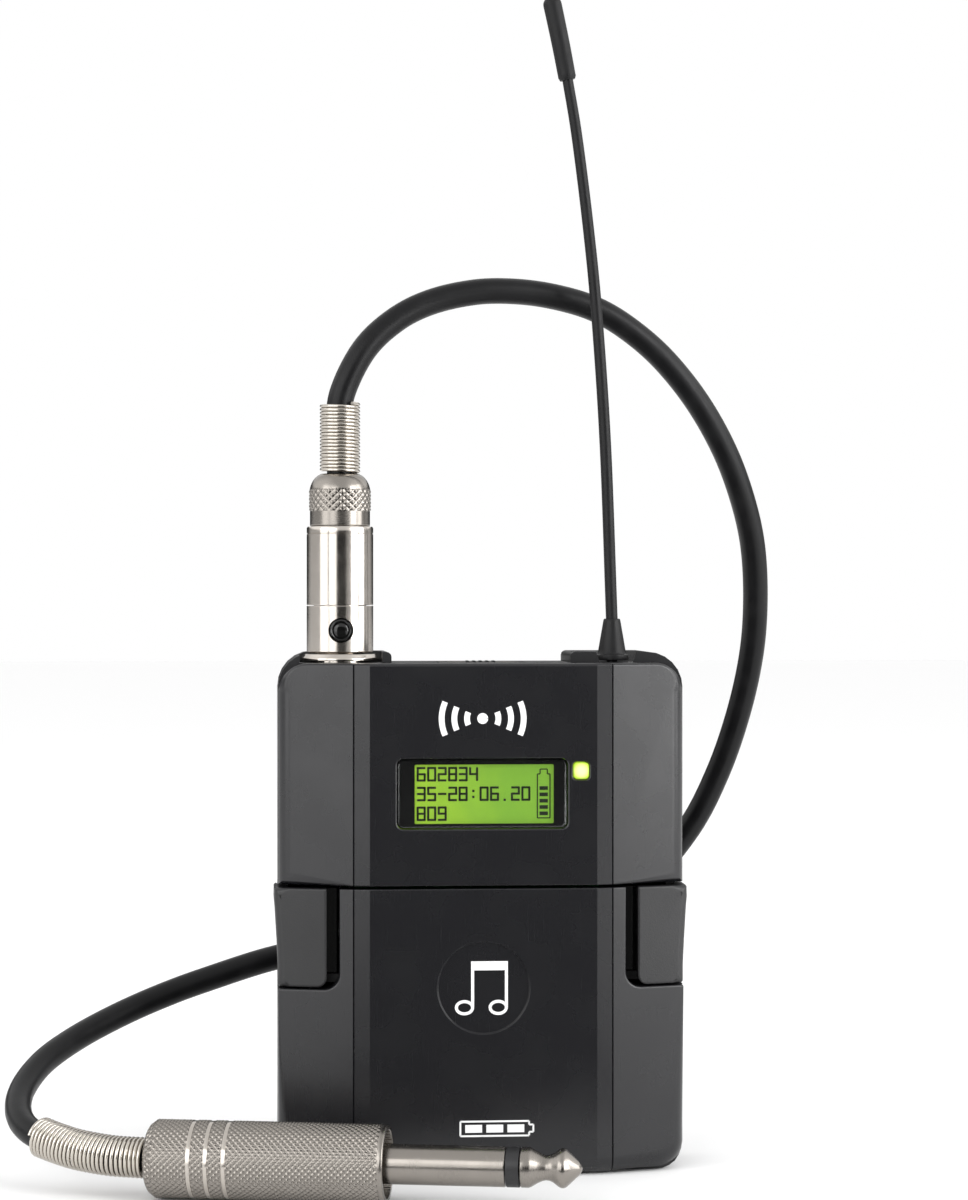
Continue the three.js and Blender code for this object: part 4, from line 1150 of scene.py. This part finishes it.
def finished_nodes():
    """The pieces whose CAD shape is already the whole shape: only their edges are eased."""
    looks = {
        "rear_shell": (rear_charcoal, 0.3),
        "display_carrier": (dark_plastic, 0.1),
        "main_board": (board_green, 0.1),
        "radio_screen_can": (steel, 0.4),
        "switch_body": (steel, 0.2),
        "switch_plate": (dull_nickel, 0.12),
        "switch_knob": (dark_plastic, 0.08),
        "key_panel": (dark_plastic, 0.2),
        "key_switch_strip": (dark_plastic, 0.1),
        "menu_key_down": (rubber, 0.25),
        "menu_key_set": (rubber, 0.25),
        "menu_key_up": (rubber, 0.25),
        "battery_tray": (dark_plastic, 0.2),
        "battery_cell_lower": (cell_sleeve, 0.15),
        "battery_cell_upper": (cell_sleeve, 0.15),
        "contact_plate_lower": (gold, 0.1),
        "contact_plate_upper": (gold, 0.1),
        "door_hinge_pin": (steel, 0.1),
        "antenna_ferrule": (clip_steel, 0.1),
        "belt_clip_pin": (steel, 0.15),
        "belt_clip": (clip_steel, 0.2),
        "socket_insert": (dark_plastic, 0.1),
    }
    looks |= {f"case_screw_{i}": (steel, 0.12) for i in range(1, 5)}
    looks |= {f"socket_pin_{i}": (gold, 0.1) for i in range(1, 4)}
    for node, (look, width) in looks.items():
        eased(node, look, width)


# ---- Studio ----


def floor():
    half = 4000
    look = Look("studio_floor", (0.9, 0.9, 0.9), 0.8)
    look.roughness(look.between(look.noise(40), 0.3, 0.7, 0.75, 0.85))
    points = [(-half, -half, 0), (half, -half, 0), (half, half, 0), (-half, half, 0)]
    add_mesh("studio_floor", points, [(0, 1, 2, 3)], look.material)


def dark_card():
    """A dark card on the floor before the case. It shows only in reflections, and keeps the front dark."""
    look = Look("studio_card", (0.015, 0.015, 0.015), 0.9)
    points = [(-60, -60, 1), (60, -60, 1), (1300, -3900, 1), (-1100, -3900, 1)]
    card = add_mesh("studio_card", points, [(0, 1, 2, 3)], look.material)
    card.visible_camera = card.visible_diffuse = card.visible_shadow = False


SOFT_LIGHTS = {  # each one's place and size in metres, and its power in watts
    "left_softbox": ((-0.47, -0.89, 0.25), (0.46, 0.9), 3),
    "left_edge_light": ((-0.87, -0.5, 0.25), (0.5, 0.9), 3),
    "right_softbox": ((0.77, -0.64, 0.25), (0.42, 0.9), 7),
    "right_edge_light": ((0.98, -0.2, 0.25), (0.36, 0.9), 3.5),
}
LIT_PLACE = Vector((0, 0, 0.06))


def soft_light(name, place, size, power):
    """A rectangle of light that faces the middle of the case."""
    data = bpy.data.lights.new(name, "AREA")
    data.shape = "RECTANGLE"
    data.size, data.size_y = size
    data.energy = power
    light = bpy.data.objects.new(name, data)
    bpy.context.scene.collection.objects.link(light)
    light.location = place
    light.rotation_euler = (LIT_PLACE - Vector(place)).to_track_quat("-Z", "Y").to_euler()
    light.visible_camera = False


def surroundings():
    """White to the camera. To the object, bright at the sides, and dark before it and behind it."""
    world = bpy.data.worlds.new("studio")
    bpy.context.scene.world = world
    world.use_nodes = True
    tree = world.node_tree

    def node(kind, operation=None):
        made = tree.nodes.new("ShaderNode" + kind)
        if operation:
            made.operation = operation
        return made

    direction, parts = node("TexCoord"), node("SeparateXYZ")
    side, behind, less = node("Math", "ABSOLUTE"), node("Math", "MAXIMUM"), node("Math", "MULTIPLY_ADD")
    ramp, path, mix = node("MapRange"), node("LightPath"), node("Mix")
    tree.links.new(direction.outputs["Generated"], parts.inputs[0])
    tree.links.new(parts.outputs["X"], side.inputs[0])
    tree.links.new(parts.outputs["Y"], behind.inputs[0])
    behind.inputs[1].default_value = 0
    tree.links.new(behind.outputs[0], less.inputs[0])
    less.inputs[1].default_value = -0.35
    tree.links.new(side.outputs[0], less.inputs[2])
    tree.links.new(less.outputs[0], ramp.inputs["Value"])
    limits = {"From Min": 0.28, "From Max": 0.7, "To Min": 0.02, "To Max": 0.6}
    for name, value in limits.items():
        ramp.inputs[name].default_value = value
    tree.links.new(path.outputs["Is Camera Ray"], mix.inputs["Factor"])
    tree.links.new(ramp.outputs[0], mix.inputs["A"])
    mix.inputs["B"].default_value = 1.0
    tree.links.new(mix.outputs[0], tree.nodes["Background"].inputs["Color"])


def studio():
    floor()
    dark_card()
    surroundings()
    for name, (place, size, power) in SOFT_LIGHTS.items():
        soft_light(name, place, size, power)
    overhead = bpy.data.objects.new("overhead", bpy.data.lights.new("overhead", "SUN"))
    overhead.data.energy = 2.8
    overhead.data.angle = math.radians(150)
    bpy.context.scene.collection.objects.link(overhead)
    bpy.context.scene.view_settings.view_transform = "Standard"


# ---- Everything ----

add_camera()
guitar_cord()
front_cover()
battery_door()
for tab, direction in (("left", -1), ("right", 1)):
    latch_tab(tab, direction)
    slot_lining(tab, direction)
display_stack()
lamp()
print_radio_waves()
print_notes()
print_cell_sign()
socket()
antenna()
springs()
finished_nodes()
studio()
